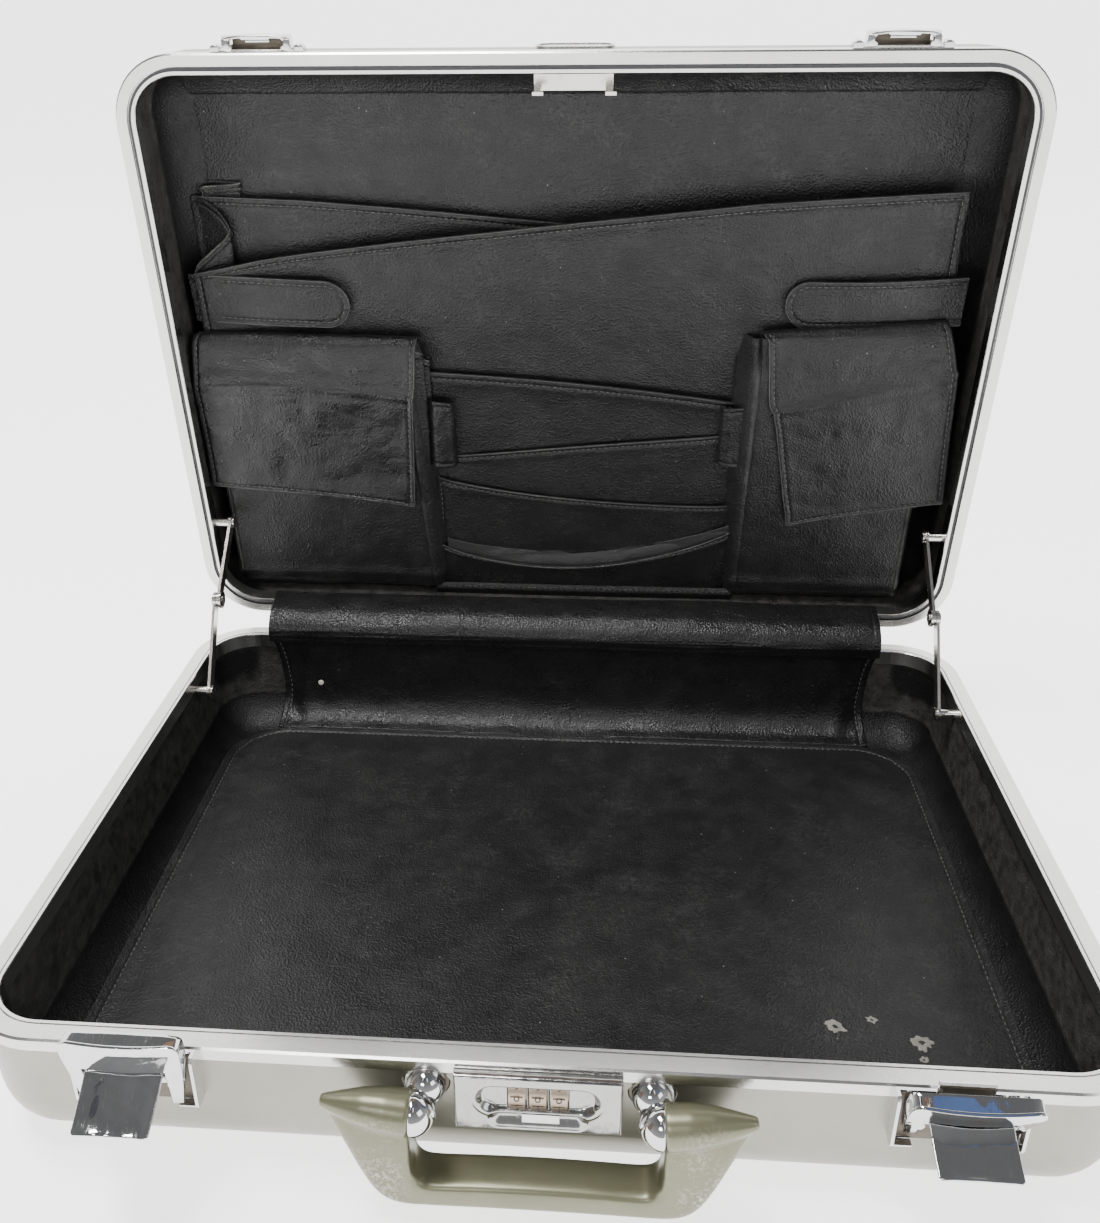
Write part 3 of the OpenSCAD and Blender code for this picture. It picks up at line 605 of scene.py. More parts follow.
class Leaf:
    """A piece of leather in the lid, given by its four corners as x and y of the shut lid."""

    def __init__(self, tl, tr, br, bl, height, radii=(0, 0, 0, 0), hems="tblr", top=None, low=None, seed=1,
        seam=3.6, puff=0.6, beaded="t"):
        self.c = [np.array(p, float) for p in (tl, tr, br, bl)]
        self.w = (np.linalg.norm(self.c[1] - self.c[0]) + np.linalg.norm(self.c[2] - self.c[3])) / 2
        self.h = (np.linalg.norm(self.c[3] - self.c[0]) + np.linalg.norm(self.c[2] - self.c[1])) / 2
        self.height, self.radii, self.hems, self.top, self.low = height, radii, hems, top, low
        self.seed, self.seam, self.puff, self.beaded = seed, seam, puff, beaded

    def at(self, u, v):
        u, v = np.asarray(u, float), np.asarray(v, float)
        du, dv = u * self.w, v * self.h
        u2, v2 = corners(u, v, self.w, self.h, self.radii)
        a, b, c, d = self.c
        p = ((1 - u2) * (1 - v2))[..., None] * a + (u2 * (1 - v2))[..., None] * b + (u2 * v2)[...,
            None] * c + ((1 - u2) * v2)[..., None] * d
        x, y = p[..., 0], p[..., 1]
        if self.top:
            y = y + self.top(u2) * (1 - v2) ** 1.5
        if self.low:
            y = y + self.low(u2) * v2 ** 1.5
        far = np.full(x.shape, 99.0)
        for k, dist in (("t", dv), ("b", self.h - dv), ("l", du), ("r", self.w - du)):
            if k in self.hems:
                far = np.minimum(far, dist)
        wave = self.puff * (fractal(x, y, 55, self.seed) + 0.25 * fractal(x, y, 14, self.seed + 5))
        wave = wave - self.puff * 0.5 * creases(x, y, 0.15 * self.seed, 40, 9, self.seed + 9)
        z = self.height(x, y, u2, v2) - np.where(far < 90, hem(far, self.seam), 0) - wave * smooth(far / 10)
        return xyz(x, y, z)

    def build(self, name, material, node=None, thick=1.3, step=2.6):
        u, v = grid(spread(self.w, step), spread(self.h, step))
        ob = skin(name, lid_at(self.at(u, v)), thick, material, "lid", node, flip=True)
        for k in self.hems:
            self.sew(k)
        return ob

    def sew(self, side):
        t = np.linspace(0, 1, 160)
        sew_line(self.at, *side_line(side, self.seam, self.w, self.h, t))
        # Highlit sides get a lighter line along the hem: a painted highlight.
        if side in self.beaded:
            bead("lid", lid_at(self.at(*side_line(side, 0.45, self.w, self.h, t))))


# Back wall of the lid: up over the rounded edge to the frame, with a seam down each side
def backing(u, v):
    path = [(150, 49.6), (60, 49.8), (-60, 49.8), (-128, 49.6), (-139, 47.6), (-147.5, 42.5), (-152.8, 35),
        (-154.6, 26), (-155.1, 17), (-155.3, 10.5)]
    q = curve(path, v)
    x = BACKING_W * (u - 0.5)
    spread_out = smooth((-q[..., 0] - 120) / 40)
    x = x + 5 * spread_out * np.sign(x) * smooth((np.abs(x) - 150) / 60)
    d = np.minimum(BACKING_W / 2 - np.abs(BACKING_W * (u - 0.5)), 99)
    lift = hem(d, 4.0) + (0.5 * fractal(x, q[..., 0], 80, 3) + 0.15 * fractal(x, q[..., 0], 22,
        4)) * smooth(d / 12)
    return np.stack([x, q[..., 0] + lift * spread_out, q[..., 1] - lift * (1 - spread_out)], -1)


u, v = grid(spread(419, 3.2), np.linspace(0, 1, 120))
back = skin("lid_backing", lid_at(backing(u, v)), 1.0, LEATHER, "lid")
cloth(back)
t = np.linspace(0.35, 0.97, 200)
for side in (4.0 / 419, 1 - 4.0 / 419):
    sew_line(backing, side + 0 * t, t, du=0.002)

# Rear file divider with a straight hem
BACK_TOP = [(-213, -85.5), (-152, -83.1), (-96, -78.9), (-3, -70.5), (206, -52)]


def edge_line(points, x0, x1):
    """How far an edge through the points stands below the straight line between its ends."""
    y0, y1 = points[0][1], points[-1][1]
    return lambda u: np.interp(x0 + (x1 - x0) * u, [p[0] for p in points],
        [p[1] for p in points]) - (y0 + (y1 - y0) * u)


divider = Leaf((-213, -85.5), (206, -52), (206, 152), (-213, 152), lambda x, y, u, v: 44 + 0 * x - 1.2 * v,
    hems="t", seed=2, puff=0.7,
               top=edge_line(BACK_TOP, -213, 206))
cloth(divider.build("file_divider_leather", LEATHER, "file_divider"))

# Front file panel: its top edge climbs to the right
TOP = [(-214, -46.5), (-175, -53.3), (-96, -63.3), (-3, -74), (98, -84.4), (206, -91.2)]
panel = Leaf((-214, -46.5), (206, -91.2), (206, 154), (-212, 154),
             lambda x, y, u, v: 33.5 - 5.5 * smooth((-150 - x) / 60) * (1 - v) - 1.5 * v + 1.0 * bell(v
                 - 0.1, 0.2) * np.sin(u * 9),
             hems="tlr", top=edge_line(TOP, -214, 206), seed=5, puff=0.8)
cloth(panel.build("file_panel_leather", LEATHER, "file_panel"))


# Folded gussets that close the file pocket's ends
def fold_strip(name, path, y0, y1, slope, node=None, seed=3, thick=1.0):
    """A bellows: a path of x, zl carried from y0 (which may lean by slope) to y1."""
    n = 70
    u, v = grid(np.linspace(0, 1, n), spread(abs(y1 - y0), 3.0))
    q = curve(path, u)
    y = y0 + slope(u) * (1 - v) ** 2 + (y1 - y0) * v
    d = v * abs(y1 - y0)
    bulge = 0.5 * fractal(u * 60, y, 24, seed)
    p = np.stack([q[..., 0] + bulge, y, q[..., 1]], -1)
    g = normals(lid_at(p))
    pts = lid_at(p) + g * (hem(d, 3.2) * 0.7 / 1000)[..., None]
    return skin(name, pts, thick, LEATHER, "lid", node)


g1 = fold_strip("file_gusset_left",
    [(-213, 29), (-212, 32.5), (-203, 35.5), (-193, 38), (-196.5, 40), (-205, 42.5), (-213, 44.5)], -62, 150,
                lambda u: 14 - 38 * smooth(u), "file_gusset", 3)
cloth(g1)
g2 = fold_strip("file_gusset_right", [(205, 33.5), (204, 36), (196, 38.5), (203, 41), (206, 43.5)], -88,
    150, lambda u: 34 * smooth(u), None, 8)
cloth(g2)
g3 = fold_strip("divider_gusset_left",
    [(-207, 44), (-205, 46.5), (-192, 47.5), (-186, 47.8), (-196, 48.8),
    (-207, 49.2)], -90, 60, lambda u: -3 * smooth(u), None, 4)
cloth(g3)

# Closing straps with round ends
for sx, tag in ((-1, "left"), (1, "right")):
    if sx < 0:
        box = ((-217, -46), (-126.5, -41), (-127.5, -14), (-216, -18.5))
        radii = (0, 14, 13.5, 0)
    else:
        box = ((115.5, -43.5), (212, -47), (212, -19.5), (117, -15.5))
        radii = (13.5, 0, 0, 14)
    strap = Leaf(*box, lambda x, y, u, v,
        sx=sx: 29.0 + 2.0 * (u if sx < 0 else 1 - u) - 2.5 * np.sin(math.pi
        * (1 - u if sx < 0 else u)) ** 1.3 * 0.8,
                 radii=radii, hems="tb" + ("r" if sx < 0 else "l"), seed=12 + sx,
                 seam=3.2, puff=0.35, beaded="tblr",
                 top=lambda u, sx=sx: (2.2 * np.sin(math.pi * u)) * sx * 0.4)
    cloth(strap.build("strap_leather_" + tag, LEATHER, "strap_" + tag, thick=2.2, step=2.0))


# Tool pockets: a flat front, a side wall towards the middle and a fold at the bottom
def pocket(u, v, x_in, lean, x_out, y_top, y_low, seed):
    """x_in is the front's edge towards the middle, at the top; lean moves it at the bottom."""
    sign = 1 if x_in > x_out else -1
    edge = x_in + lean * v
    wall = [(8.5, 31.5), (8.0, 29.0), (5.5, 25.0), (2.6, 20.5), (0.9, 18.2), (-0.6, 17.3), (-3.2, 18.4),
        (-5.5, 17.6), (-12, 17.7)]
    side = curve(wall, np.clip(u / 0.3, 0, 1))
    x = edge + sign * side[..., 0]
    z = side[..., 1]
    k = np.clip((u - 0.3) / 0.7, 0, 1)
    start = edge - sign * 12
    flat_x = start + (x_out - start) * k
    x = np.where(u > 0.3, flat_x, x)
    away = np.abs(x - x_out)
    z = np.where(u > 0.3, 17.7, z) + 11 * smooth((5 - away) / 5) ** 2
    y = y_top + (y_low - y_top) * v
    d = y_low - y
    z = z + 13 * smooth((7 - d) / 7) ** 1.7 + 9 * smooth((24 - (y - y_top)) / 24)
    wave = 0.9 * fractal(x, y, 45, seed) + 0.3 * fractal(x, y, 13, seed + 2) + 1.1 * bell(d - 13,
        3.0) - 0.8 * bell(d - 9, 1.5)
    seam = -0.5 * bell(away - 5.0, 0.6) + 0.3 * bell(away - 2.5, 1.2)
    return np.stack([x, y, z - wave * smooth(d / 6 + 0.2) - seam], -1)


for tag, args in (("left", (-97, 13, -215, -8, 157, 21)), ("right", (102, -3, 203.5, -12, 157, 31))):
    x_in, lean, x_out, y_top, y_low, seed = args

    def p_of(u, v):
        return pocket(u, v, x_in, lean, x_out, y_top, y_low, seed)

    us = np.unique(np.concatenate([np.linspace(0, 0.3, 34), np.linspace(0.3, 0.94, 46),
        np.linspace(0.94, 1, 18)]))
    u, v = grid(us, spread(y_low - y_top, 2.4))
    ob = skin("pocket_leather_" + tag, lid_at(p_of(u, v)), 1.3, LEATHER, "lid", "pocket_" + tag,
        flip=x_in > x_out)
    cloth(ob)
    t = np.linspace(0.02, 0.95, 160)
    for share in (0.235, 0.96):
        sew_line(p_of, share + 0 * t, t)


# Flaps: rolled over the pockets' tops, creased where they bend
def flap(u, v, left, right, crease, low, seed, dents, top):
    """left and right give x at the roll, at the crease and at the bottom; crease and low give y across."""
    bottom, fold = low(u), crease(u)
    stops = np.array([0, 0.05, 0.10, 0.16, 0.22, 0.30, 0.36, 0.42, 0.7, 0.93, 1.0])
    ys = [top + 4.2 + 0 * u, top + 1 + 0 * u, top + 0 * u, top + 2.2 + 0 * u, top + 7 + 0 * u, fold - 10,
        fold - 3, fold + 3, (fold + bottom) / 2, bottom - 8, bottom]
    zs = [31.0, 28.5, 24.5, 20.8, 18.4, 15.6, 14.2, 14.0, 15.3, 14.6, 13.9]
    tilt = right[3] * (u - 0.5)
    k = np.clip(np.searchsorted(stops, v, side="right") - 1, 0, len(stops) - 2)
    f = (v - stops[k]) / (stops[k + 1] - stops[k])
    q = curve(np.stack([np.arange(11.0), np.array(zs)], -1), (k + f) / 10)[..., 1]
    ys = np.stack(np.broadcast_arrays(*ys), 0)
    kk = np.clip(np.stack([k - 1, k, k + 1, k + 2]), 0, 10)
    a, b, c, d = (np.take_along_axis(ys, kk[m][None], 0)[0] for m in range(4))
    y = 0.5 * (2 * b + (c - a) * f + (2 * a - 5 * b + 4 * c - d) * f ** 2 + (3 * b - a - 3 * c + d) * f ** 3)
    y = y + tilt * (1 - v) ** 2
    xl = np.interp(v, [0, 0.14, 0.4, 1], left)
    xr = np.interp(v, [0, 0.14, 0.4, 1], right[:3] + right[4:])
    w = np.abs(xr - xl)
    length = bottom + 22
    u2, v2 = corners(u, v, 1.0 * np.mean(w), np.mean(length), (0, 0, 3.5, 3.5))
    x = xl + (xr - xl) * u2
    dl, dr, db = u * w, (1 - u) * w, (1 - v) * length
    far = np.minimum(np.minimum(dl, dr), db)
    z = q - hem(far, 3.0)
    wave = 0.9 * fractal(x, y, 46, seed) + 0.35 * fractal(x, y, 15, seed + 5) - 0.5 * creases(x, y, 0.15,
        36, 8, seed + 9)
    wave = wave - 1.0 * creases(x, y, 0.05, 60, 7, seed + 11) * bell(y - fold + 12,
        14) + 0.8 * bell(y - fold, 1.3) - 0.6 * bell(y - fold - 3.2, 1.8)
    for px, py, size, depth in dents:
        wave = wave - depth * bell(np.hypot(x - px, y - py), size)
    z = z - wave * smooth(far / 9) * smooth(v / 0.1) - 0.9 * ((u - 0.5)
        * 2) ** 4 * smooth((v - 0.5) / 0.5) * dents[0][3]
    return xyz(x, y, z)


flaps = (
    ("left", SHINY, [-211, -218, -221, -220], [-89, -88.5, -92, 2.0, -95.5],
        lambda u: 17 - 1.5 * np.sin(math.pi * np.minimum(u * 1.4, 1)) + 6 * u ** 3,
     lambda u: 81 + 7.5 * u ** 0.8 + 5 * u ** 3, 41, [(-140, 60, 8, 0.3), (-180, 45, 9, 0.3)], -12.5),
    ("right", LEATHER, [106, 105, 114, 128.5], [203, 204.5, 212, -8.5, 218], lambda u: 28 - 23 * u ** 1.15,
     lambda u: 101 - 17.5 * u ** 0.9, 53, [(148, 42, 3.0, 1.3), (142, 66, 6, 0.9), (178, 46, 5, 0.8),
         (197, 66, 4, 0.7)], -20.5))
for tag, material, left, right, crease, low, seed, dents, top in flaps:

    def p_of(u, v):
        return flap(u, v, left, right, crease, low, seed, dents, top)

    u, v = grid(spread(128 if tag == "left" else 100, 1.9),
        np.unique(np.concatenate([np.linspace(0, 0.94, 76), np.linspace(0.94, 1, 16)])))
    ob = skin("pocket_flap_leather_" + tag, lid_at(p_of(u, v)), 1.5, material, "lid", "pocket_flap_" + tag,
        flip=True)
    cloth(ob)
    t = np.linspace(0.12, 0.965, 170)
    edge = 3.0 / (128 if tag == "left" else 98)
    sew_line(p_of, edge + 0 * t, t)
    sew_line(p_of, 1 - edge + 0 * t, t)
    t = np.linspace(edge, 1 - edge, 170)
    sew_line(p_of, t, 1 - 3.0 / 112 + 0 * t)
    # Lighter lines along the flap's foot and outer side: painted highlights.
    bead("lid", lid_at(p_of(np.linspace(0.004, 0.996, 170), 0.996 + 0 * t)), 0.35)
    side = 0.004 if tag == "right" else 0.996
    bead("lid", lid_at(p_of(side + 0 * t, np.linspace(0.13, 0.99, 170))), 0.35)

# Organiser: a back leaf, three stepped pockets, a band at the foot and folded corners
org = Leaf((-88, 10.5), (104, 29), (104, 157), (-86, 157), lambda x, y, u,
    v: 28.8 - 1.5 * v - 1.5 * bell(v, 0.08), hems="tlr", seed=61, puff=0.5,
           top=lambda u: -2.5 * np.sin(math.pi * u))
cloth(org.build("organiser_leather", LEATHER, "organiser"))
tiers = [
    ((-80, 65.5), (97, 47.5), 25.8, lambda u: -1.0 * np.sin(math.pi * u), 71, "organiser_pockets", 0.8),
    ((-83, 78), (101, 94.2), 22.8, lambda u: 6.0 * np.sin(math.pi * u) ** 0.8 * (1 - 0.3 * u), 73, None, 0.8),
    ((-82.5, 124.2), (100, 109), 19.2, lambda u: 20.5 * np.sin(math.pi * u) ** 0.85 * (1 - 0.1 * u), 79,
        None, 2.8),
]
for k, (tl, tr, zl, sag, seed, node, gape) in enumerate(tiers):
    leaf = Leaf(tl, tr, (tr[0] - 1, 157), (tl[0], 157),
                lambda x, y, u, v, zl=zl, gape=gape: zl - 0.5 * v + 3.0 * (2 * u
                    - 1) ** 8 - gape * np.sin(math.pi * u) * (1 - v) ** 3,
                hems="t" if k == 2 else "tlr", top=sag, seed=seed, seam=2.4, puff=0.45)
    cloth(leaf.build("organiser_tier_%d" % (k + 1), SHINY if k == 2 else LEATHER, node))
# The inner facing in the third pocket's mouth, in lighter leather as a painted sheen.
facing = Leaf((-78, 120), (96, 106), (96, 130), (-78, 134), lambda x, y, u,
    v: 22.2 - 3.0 * np.sin(math.pi * u) * smooth(v * 1.3), hems="", seed=83, puff=0.9,
              top=lambda u: 14.5 * np.sin(math.pi * u) ** 0.8, low=lambda u: 20 * np.sin(math.pi * u) ** 0.85)
cloth(facing.build("pocket_facing_sheen", FACING_SHEEN, None, thick=0.8))
# The band at the foot is in the darker lining leather: painted shade for the gap under the pockets.
foot = Leaf((-86, 151), (100, 151), (100, 158), (-86, 158), lambda x, y, u, v: 16.8 + 0 * x, hems="t",
    seed=87, seam=2.0, puff=0.3, beaded="")
cloth(foot.build("organiser_foot", LINING, None, thick=1.4))
g4 = fold_strip("organiser_gusset_left",
    [(-93, 19.5), (-86, 22), (-90.5, 24.2), (-83.5, 26.5), (-88, 28.6),
    (-84, 30.2)], -6, 156, lambda u: 15 * u, None, 5, 0.9)
g5 = fold_strip("organiser_gusset_right",
    [(104, 19.5), (98, 22), (102.5, 24.2), (96, 26.5), (100.5, 28.6),
    (97, 30)], 12, 156, lambda u: 15 * u, None, 9, 0.9)
for g in (g4, g5):
    cloth(g)


# Pen loops: short bands standing off the organiser
def loop(name, x0, x1, y0, y1, zl, lean, node=None):
    path = [(x0, zl), (x0 + 0.6, zl - 5), (x0 + (x1 - x0) * 0.3, zl - 8.6),
        (x0 + (x1 - x0) * 0.75, zl - 8.4), (x1 - 0.4, zl - 4.5), (x1, zl)]
    u, v = grid(np.linspace(0, 1, 40), spread(abs(y1 - y0), 1.6))
    q = curve(path, u)
    y = y0 + (y1 - y0) * v + lean * (u - 0.5) * (1 - v) * 4 + 1.2 * lean * u - 1.6 * np.sin(math.pi
        * u) * (1 - v)
    d = np.minimum(v, 1 - v) * abs(y1 - y0)
    z = q[..., 1] - 0.5 * hem(d, 2.6) - 0.5 * fractal(q[..., 0] * 2, y, 12, 5)
    return skin(name, lid_at(xyz(q[..., 0], y, z)), 1.2, SHINY, "lid", node, flip=True)


cloth(loop("pen_loop_left", -85.5, -70, 27.5, 69, 28.5, 1.0, "pen_loops"))
cloth(loop("pen_loop_right", 85.5, 103, 29.5, 66.5, 28.5, -0.9))
sew("lid_stitches", "lid", THREAD_WITH_SHEEN, "lid")
# All the lighter edge lines as one object: painted highlights.
string("lid_edge_highlights", "lid", EDGE_HIGHLIGHT, "lid")


# Floor of the base: padded panel with a stitched border
def floor(u, v):
    w, y0 = FLOOR_W, FLOOR_NEAR
    h = FLOOR_FAR - FLOOR_NEAR
    u2, v2 = corners(u, v, w, h, (30, 30, 34, 34))
    x, y = -w / 2 + w * u2, y0 + h * v2
    d = np.minimum(np.minimum(u, 1 - u) * w, np.minimum(v, 1 - v) * h)
    rise = 0.028 * np.clip(np.abs(x) - 197, 0, 99) ** 2 + 0.025 * np.clip(y - 130, 0,
        99) ** 2 + 0.03 * np.clip(-y - 133, 0, 99) ** 2
    z = FLOOR_Z + rise + 0.9 * smooth(d / 22) + 0.9 * hem(d,
        FLOOR_SEAM) + (0.7 * fractal(x, y, 90, 7) + 0.12 * fractal(x, y, 16, 8)) * smooth(d / 14)
    z = z - 0.35 * creases(x, y, 0.5, 70, 26, 91) * smooth(d / 14)
    return xyz(x, y, z)


u, v = grid(spread(FLOOR_W, 3.0), spread(FLOOR_FAR - FLOOR_NEAR, 3.0))
pad = skin("floor_panel", base_at(floor(u, v)), 1.4, FLOOR, "base", "base_floor_pad")
t = np.linspace(0, 1, 300)
for side in "lrbt":
    line = base_at(floor(*side_line(side, FLOOR_SEAM, FLOOR_W, FLOOR_FAR - FLOOR_NEAR, t)))
    stitches("base", line, np.tile([0, 0, 1.0], (len(t), 1)))
sew("base_stitches", "base", THREAD_WITH_SHEEN, "base")


# Dried rings on the floor
for k, (cx, cy, r) in enumerate(((127, -85.7, 3.6), (144, -80.7, 2.2), (163.4, -91.8, 3.9),
    (161.9, -101.5, 1.7))):
    a = np.arange(40) * 2 * math.pi / 40
    wob = r * (1 + 0.34 * noise(np.cos(a) * 3 + k * 7, np.sin(a) * 3, 1.3, 5) + 0.18 * noise(np.cos(a) * 9,
        np.sin(a) * 9 + k, 1.0, 6))
    rings = []
    for share, up in ((0.3, 0.02), (0.5, 0.1), (0.72, 0.3), (0.9, 0.28), (1.0, 0.05)):
        x, y = cx + wob * share * np.cos(a) * 1.15, cy + wob * share * np.sin(a)
        z = FLOOR_Z + 0.9 + 0.7 * fractal(x, y, 90, 7) + 0.12 * fractal(x, y, 16, 8) - 0.35 * creases(x, y,
            0.5, 70, 26, 91)
        rings.append(np.stack([x, y, z + up * (1 + 0.9 * noise(x, y, 0.7, 3))], -1))
    loft("floor_ring_%d" % (k + 1), base_at(np.array(rings)), CRUST, "base", caps=False)


# Hinge cover: one strip from the floor seam up the back wall, rolled over both rims into the lid
def hinge_cover(u, v):
    path = [(136, -56.0), (143.5, -53.6), (149.2, -48.0), (152.0, -40), (153.3, -28), (153.6, -14),
        (153.4, -5.5), (151.4, -1.6),
            (149.6, 3.2), (151.6, 9.2), (157.2, 14.4), (164.5, 17.2), (171, 18.8), (176.5, 19.8)]
    q = curve(path, v)
    half = 184 + 3.5 * smooth((v - 0.35) / 0.2) - 2.5 * bell(v - 0.25, 0.12)
    x = (2 * u - 1) * half
    d = half - np.abs(x)
    roll = smooth((v - 0.52) / 0.05)
    lift = hem(d, 4.2) * (1 - 0.6 * roll)
    lift = lift + (0.8 * fractal(x, v * 130, 70, 15) + 0.25 * fractal(x, v * 130, 18, 16)) * smooth(d / 12)
    lift = lift - 1.6 * bell(v - 0.505, 0.010) + 0.9 * bell(v - 0.54, 0.03) + 0.5 * creases(x, v * 130,
        0.02, 80, 5, 33) * bell(v - 0.6, 0.1)
    for side in (-1, 1):
        ax, av = side * x, v * 130
        ridge = ax - 168 + 0.014 * (av - 26) ** 2
        lift = lift + 1.8 * bell(ridge, 4.5) * bell(av - 30, 22) - 1.5 * bell(ridge - 9, 4) * bell(av - 30,
            18)
    p = xyz(x, q[..., 0], q[..., 1])
    g = normals(p)
    g = g * np.where(g[..., 1:2] > 0, -1, 1)
    return p + g * lift[..., None]


u, v = grid(spread(374, 3.0), np.linspace(0, 1, 150))
cover_pts = hinge_cover(u, v)
cover = skin("hinge_cover", base_at(cover_pts), 1.2, SHINY, None)
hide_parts("hinge_cover_base", "hinge_cover_lid")
for col in (9, cover_pts.shape[0] - 10):
    line = base_at(cover_pts[col])
    g = normals(base_at(cover_pts))[col]
    g = g * np.where(g[:, 1:2] > 0, -1, 1)
    stitches("cover", line[:80], g[:80])
cover_thread = sew("hinge_cover_stitches", "cover", THREAD_WITH_SHEEN)
for ob in (cover, cover_thread):
    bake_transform(ob)
cloth(cover)

# A dropped paper dot on the hinge cover
lathe("paper_dot", [(0, 1.6), (0.25, 1.75), (0.4, 1.6)], (-157.5, 150.6, -31.5), (0, -1, 0.25), PALE,
    "base", sides=20)


# ---- Handle ----

def handle():
    """Grip with flared ends and a pointed horn on each, fused into one mesh."""
    stations = [  # outer x, z; inner x, z; thickness outer, thickness inner, squareness
        (0, -56.4, 0, -44.0, 16.6, 17.0, 4.5), (20, -56.5, 20, -44.3, 16.6, 17.0, 4.5), (40, -56.6, 37,
            -45.0, 16.6, 17.0, 4.8),
        (50, -56.5, 42.5, -44.2, 16.2, 17.0, 5.5), (56.5, -54.8, 45.6, -40.5, 15.5, 17.0, 6), (61.6, -50.2,
            HORN_X, -35.0, 14.5, 17.0, 6),
        (66.0, -42.0, HORN_X, -29.5, 13.0, 17.0, 6), (70.6, -32.0, HORN_X, -24.5, 10.5, 17.0, 5), (74.8,
            -22.5, HORN_X, -20.5, 8.0, 16.5, 4),
        (78.8, -13.5, HORN_X, -15.7, 5.0, 13.0, 3), (79.6, -11.0, HORN_X, -12.0, 4.0, 8.0, 2.4)]
    right = np.array(stations, float)
    left = right[:0:-1].copy()
    left[:, 0] *= -1
    left[:, 2] *= -1
    all_st = np.concatenate([left, right])
    dense = curve(all_st, np.linspace(0, 1, 90))
    rings = []
    for ox, oz, ix, iz, to, ti, e in dense:
        ring = []
        for a in np.arange(36) * 2 * math.pi / 36:
            c, s = math.cos(a), math.sin(a)
            c2 = math.copysign(abs(c) ** (2 / e), c)
            s2 = math.copysign(abs(s) ** (2 / e), s)
            w = (1 + c2) / 2
            ring.append((ix + (ox - ix) * (1 - w), HORN_Y + s2 * 0.5 * (ti + (to - ti) * (1 - w)),
                iz + (oz - iz) * (1 - w)))
        rings.append(ring)
    body = loft("handle_body", base_at(np.array(rings)), PAINT)
    parts = [body]
    for sx in (-1, 1):
        tip = np.array([80.0, HORN_Y, -11.2])
        root = np.array([HORN_X + 0.4, HORN_Y, HORN_Z])
        axis = (tip - root) * [sx, 1, 1]
        n = np.linalg.norm(axis)
        prof = [(0, 6.5), (0.05, 8.1), (0.9, 8.5), (n * 0.3, 8.1), (n * 0.55, 6.7), (n * 0.8, 4.4),
            (n * 0.95, 2.9), (n, 2.3), (n + 0.3, 1.4)]
        parts.append(lathe("horn", prof, root * [sx, 1, 1], axis, PAINT, sides=48))
    bpy.ops.object.select_all(action="DESELECT")
    for o in parts:
        o.select_set(True)
    bpy.context.view_layer.objects.active = body
    bpy.ops.object.join()
    m = body.modifiers.new("remesh", "REMESH")
    m.mode = "VOXEL"
    m.voxel_size = 0.0006
    m.use_smooth_shade = True
    m = body.modifiers.new("soften", "SMOOTH")
    m.factor = 0.6
    m.iterations = 9
    for name in [q.name for q in body.modifiers]:
        bpy.ops.object.modifier_apply(modifier=name)
    body.data.polygons.foreach_set("use_smooth", [True] * len(body.data.polygons))
    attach(body, "handle")
    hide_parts("handle")
    body.select_set(False)


handle()

# Handle posts: flange and ball on the wall, collar, and the chrome dome beside the horn
for sx, tag in ((-1, "left"), (1, "right")):
    wall = -163.1
    ball = [(7.6 * (1 - math.cos(t)) + 1.6, 7.6 * math.sin(t) + 0.01) for t in np.linspace(math.pi / 2,
        math.pi - 0.05, 12)]
    lathe("post_ball_" + tag, [(-1, 7.2), (0.2, 8.0), (0.8, 8.0),
        (1.2, 7.2)] + [(q[0] - 7.2, q[1]) for q in ball],
          (sx * 42.4, wall, -12.2), (-sx * 0.12, -1, 0.05), BRIGHT, "base", "handle_post_" + tag, 56)
    lathe("post_seat_" + tag, [(-0.6, 9.2), (0.15, 9.3), (0.3, 8.4)], (sx * 42.4, wall, -12.2),
        (0, -1, 0.03), GRIME, "base", sides=40)
    lathe("post_arm_" + tag, [(0, 4.2), (5, 4.2), (9, 4.6)], (sx * 41.8, -168.5, -13.2), (0, -0.95, -0.3),
        BRIGHT, "base", sides=32)
    prof = [(8.3 * math.sin(t), 8.3 * math.cos(t)) for t in np.linspace(0.0, math.pi / 2 - 0.06, 14)]
    lathe("post_dome_" + tag, [(-0.8, 7.4), (-0.5, 8.1)] + prof + [(8.3, 0.3)], (sx * 46.0, HORN_Y, HORN_Z),
        (-sx, 0, 0), BRIGHT, "base", sides=56)


# Knees of the stays: pressed rivet heads on the upper arms
for sx, tag in ((-1, "left"), (1, "right")):
    lathe("stay_knee_" + tag, [(-0.2, 4.4), (0.9, 4.5), (1.3, 3.9), (1.3, 3.0), (0.8, 2.6), (0.8, 1.9),
        (1.5, 1.5), (1.6, 0.3)],
          (sx * 208.2, 131, 36), (-sx, 0, 0), NICKEL, "stay_upper_" + tag, sides=36)
    lathe("stay_knee_ring_" + tag, [(0.78, 2.95), (0.95, 2.7), (0.95, 1.7), (0.78, 1.5)],
        (sx * 208.2, 131, 36), (-sx, 0, 0), GRIME, "stay_upper_" + tag, sides=30)

# ---- Latches ----

def latch_frame(sx):
    """Turns places on the shut latch (x, distance in front, height above the pin) into places at rest."""
    side = "left" if sx < 0 else "right"
    pin = [1000 * q for q in joint["latch_cover_%s_tilt" % side]["pos_m"]]
    cover = -math.radians(joint["latch_cover_%s_tilt" % side]["range_deg"][0])
    lever = -math.radians(joint["latch_lever_%s_lift" % side]["range_deg"][0])

    def place(p, angle):
        p = np.asarray(p, float)
        c, s = math.cos(angle), math.sin(angle)
        y, z = -p[..., 1], p[..., 2]
        return np.stack([pin[0] + p[..., 0], pin[1] + y * c - z * s, pin[2] + y * s + z * c], -1) / 1000

    return (lambda p: place(p, cover)), (lambda p: place(p, cover - lever))


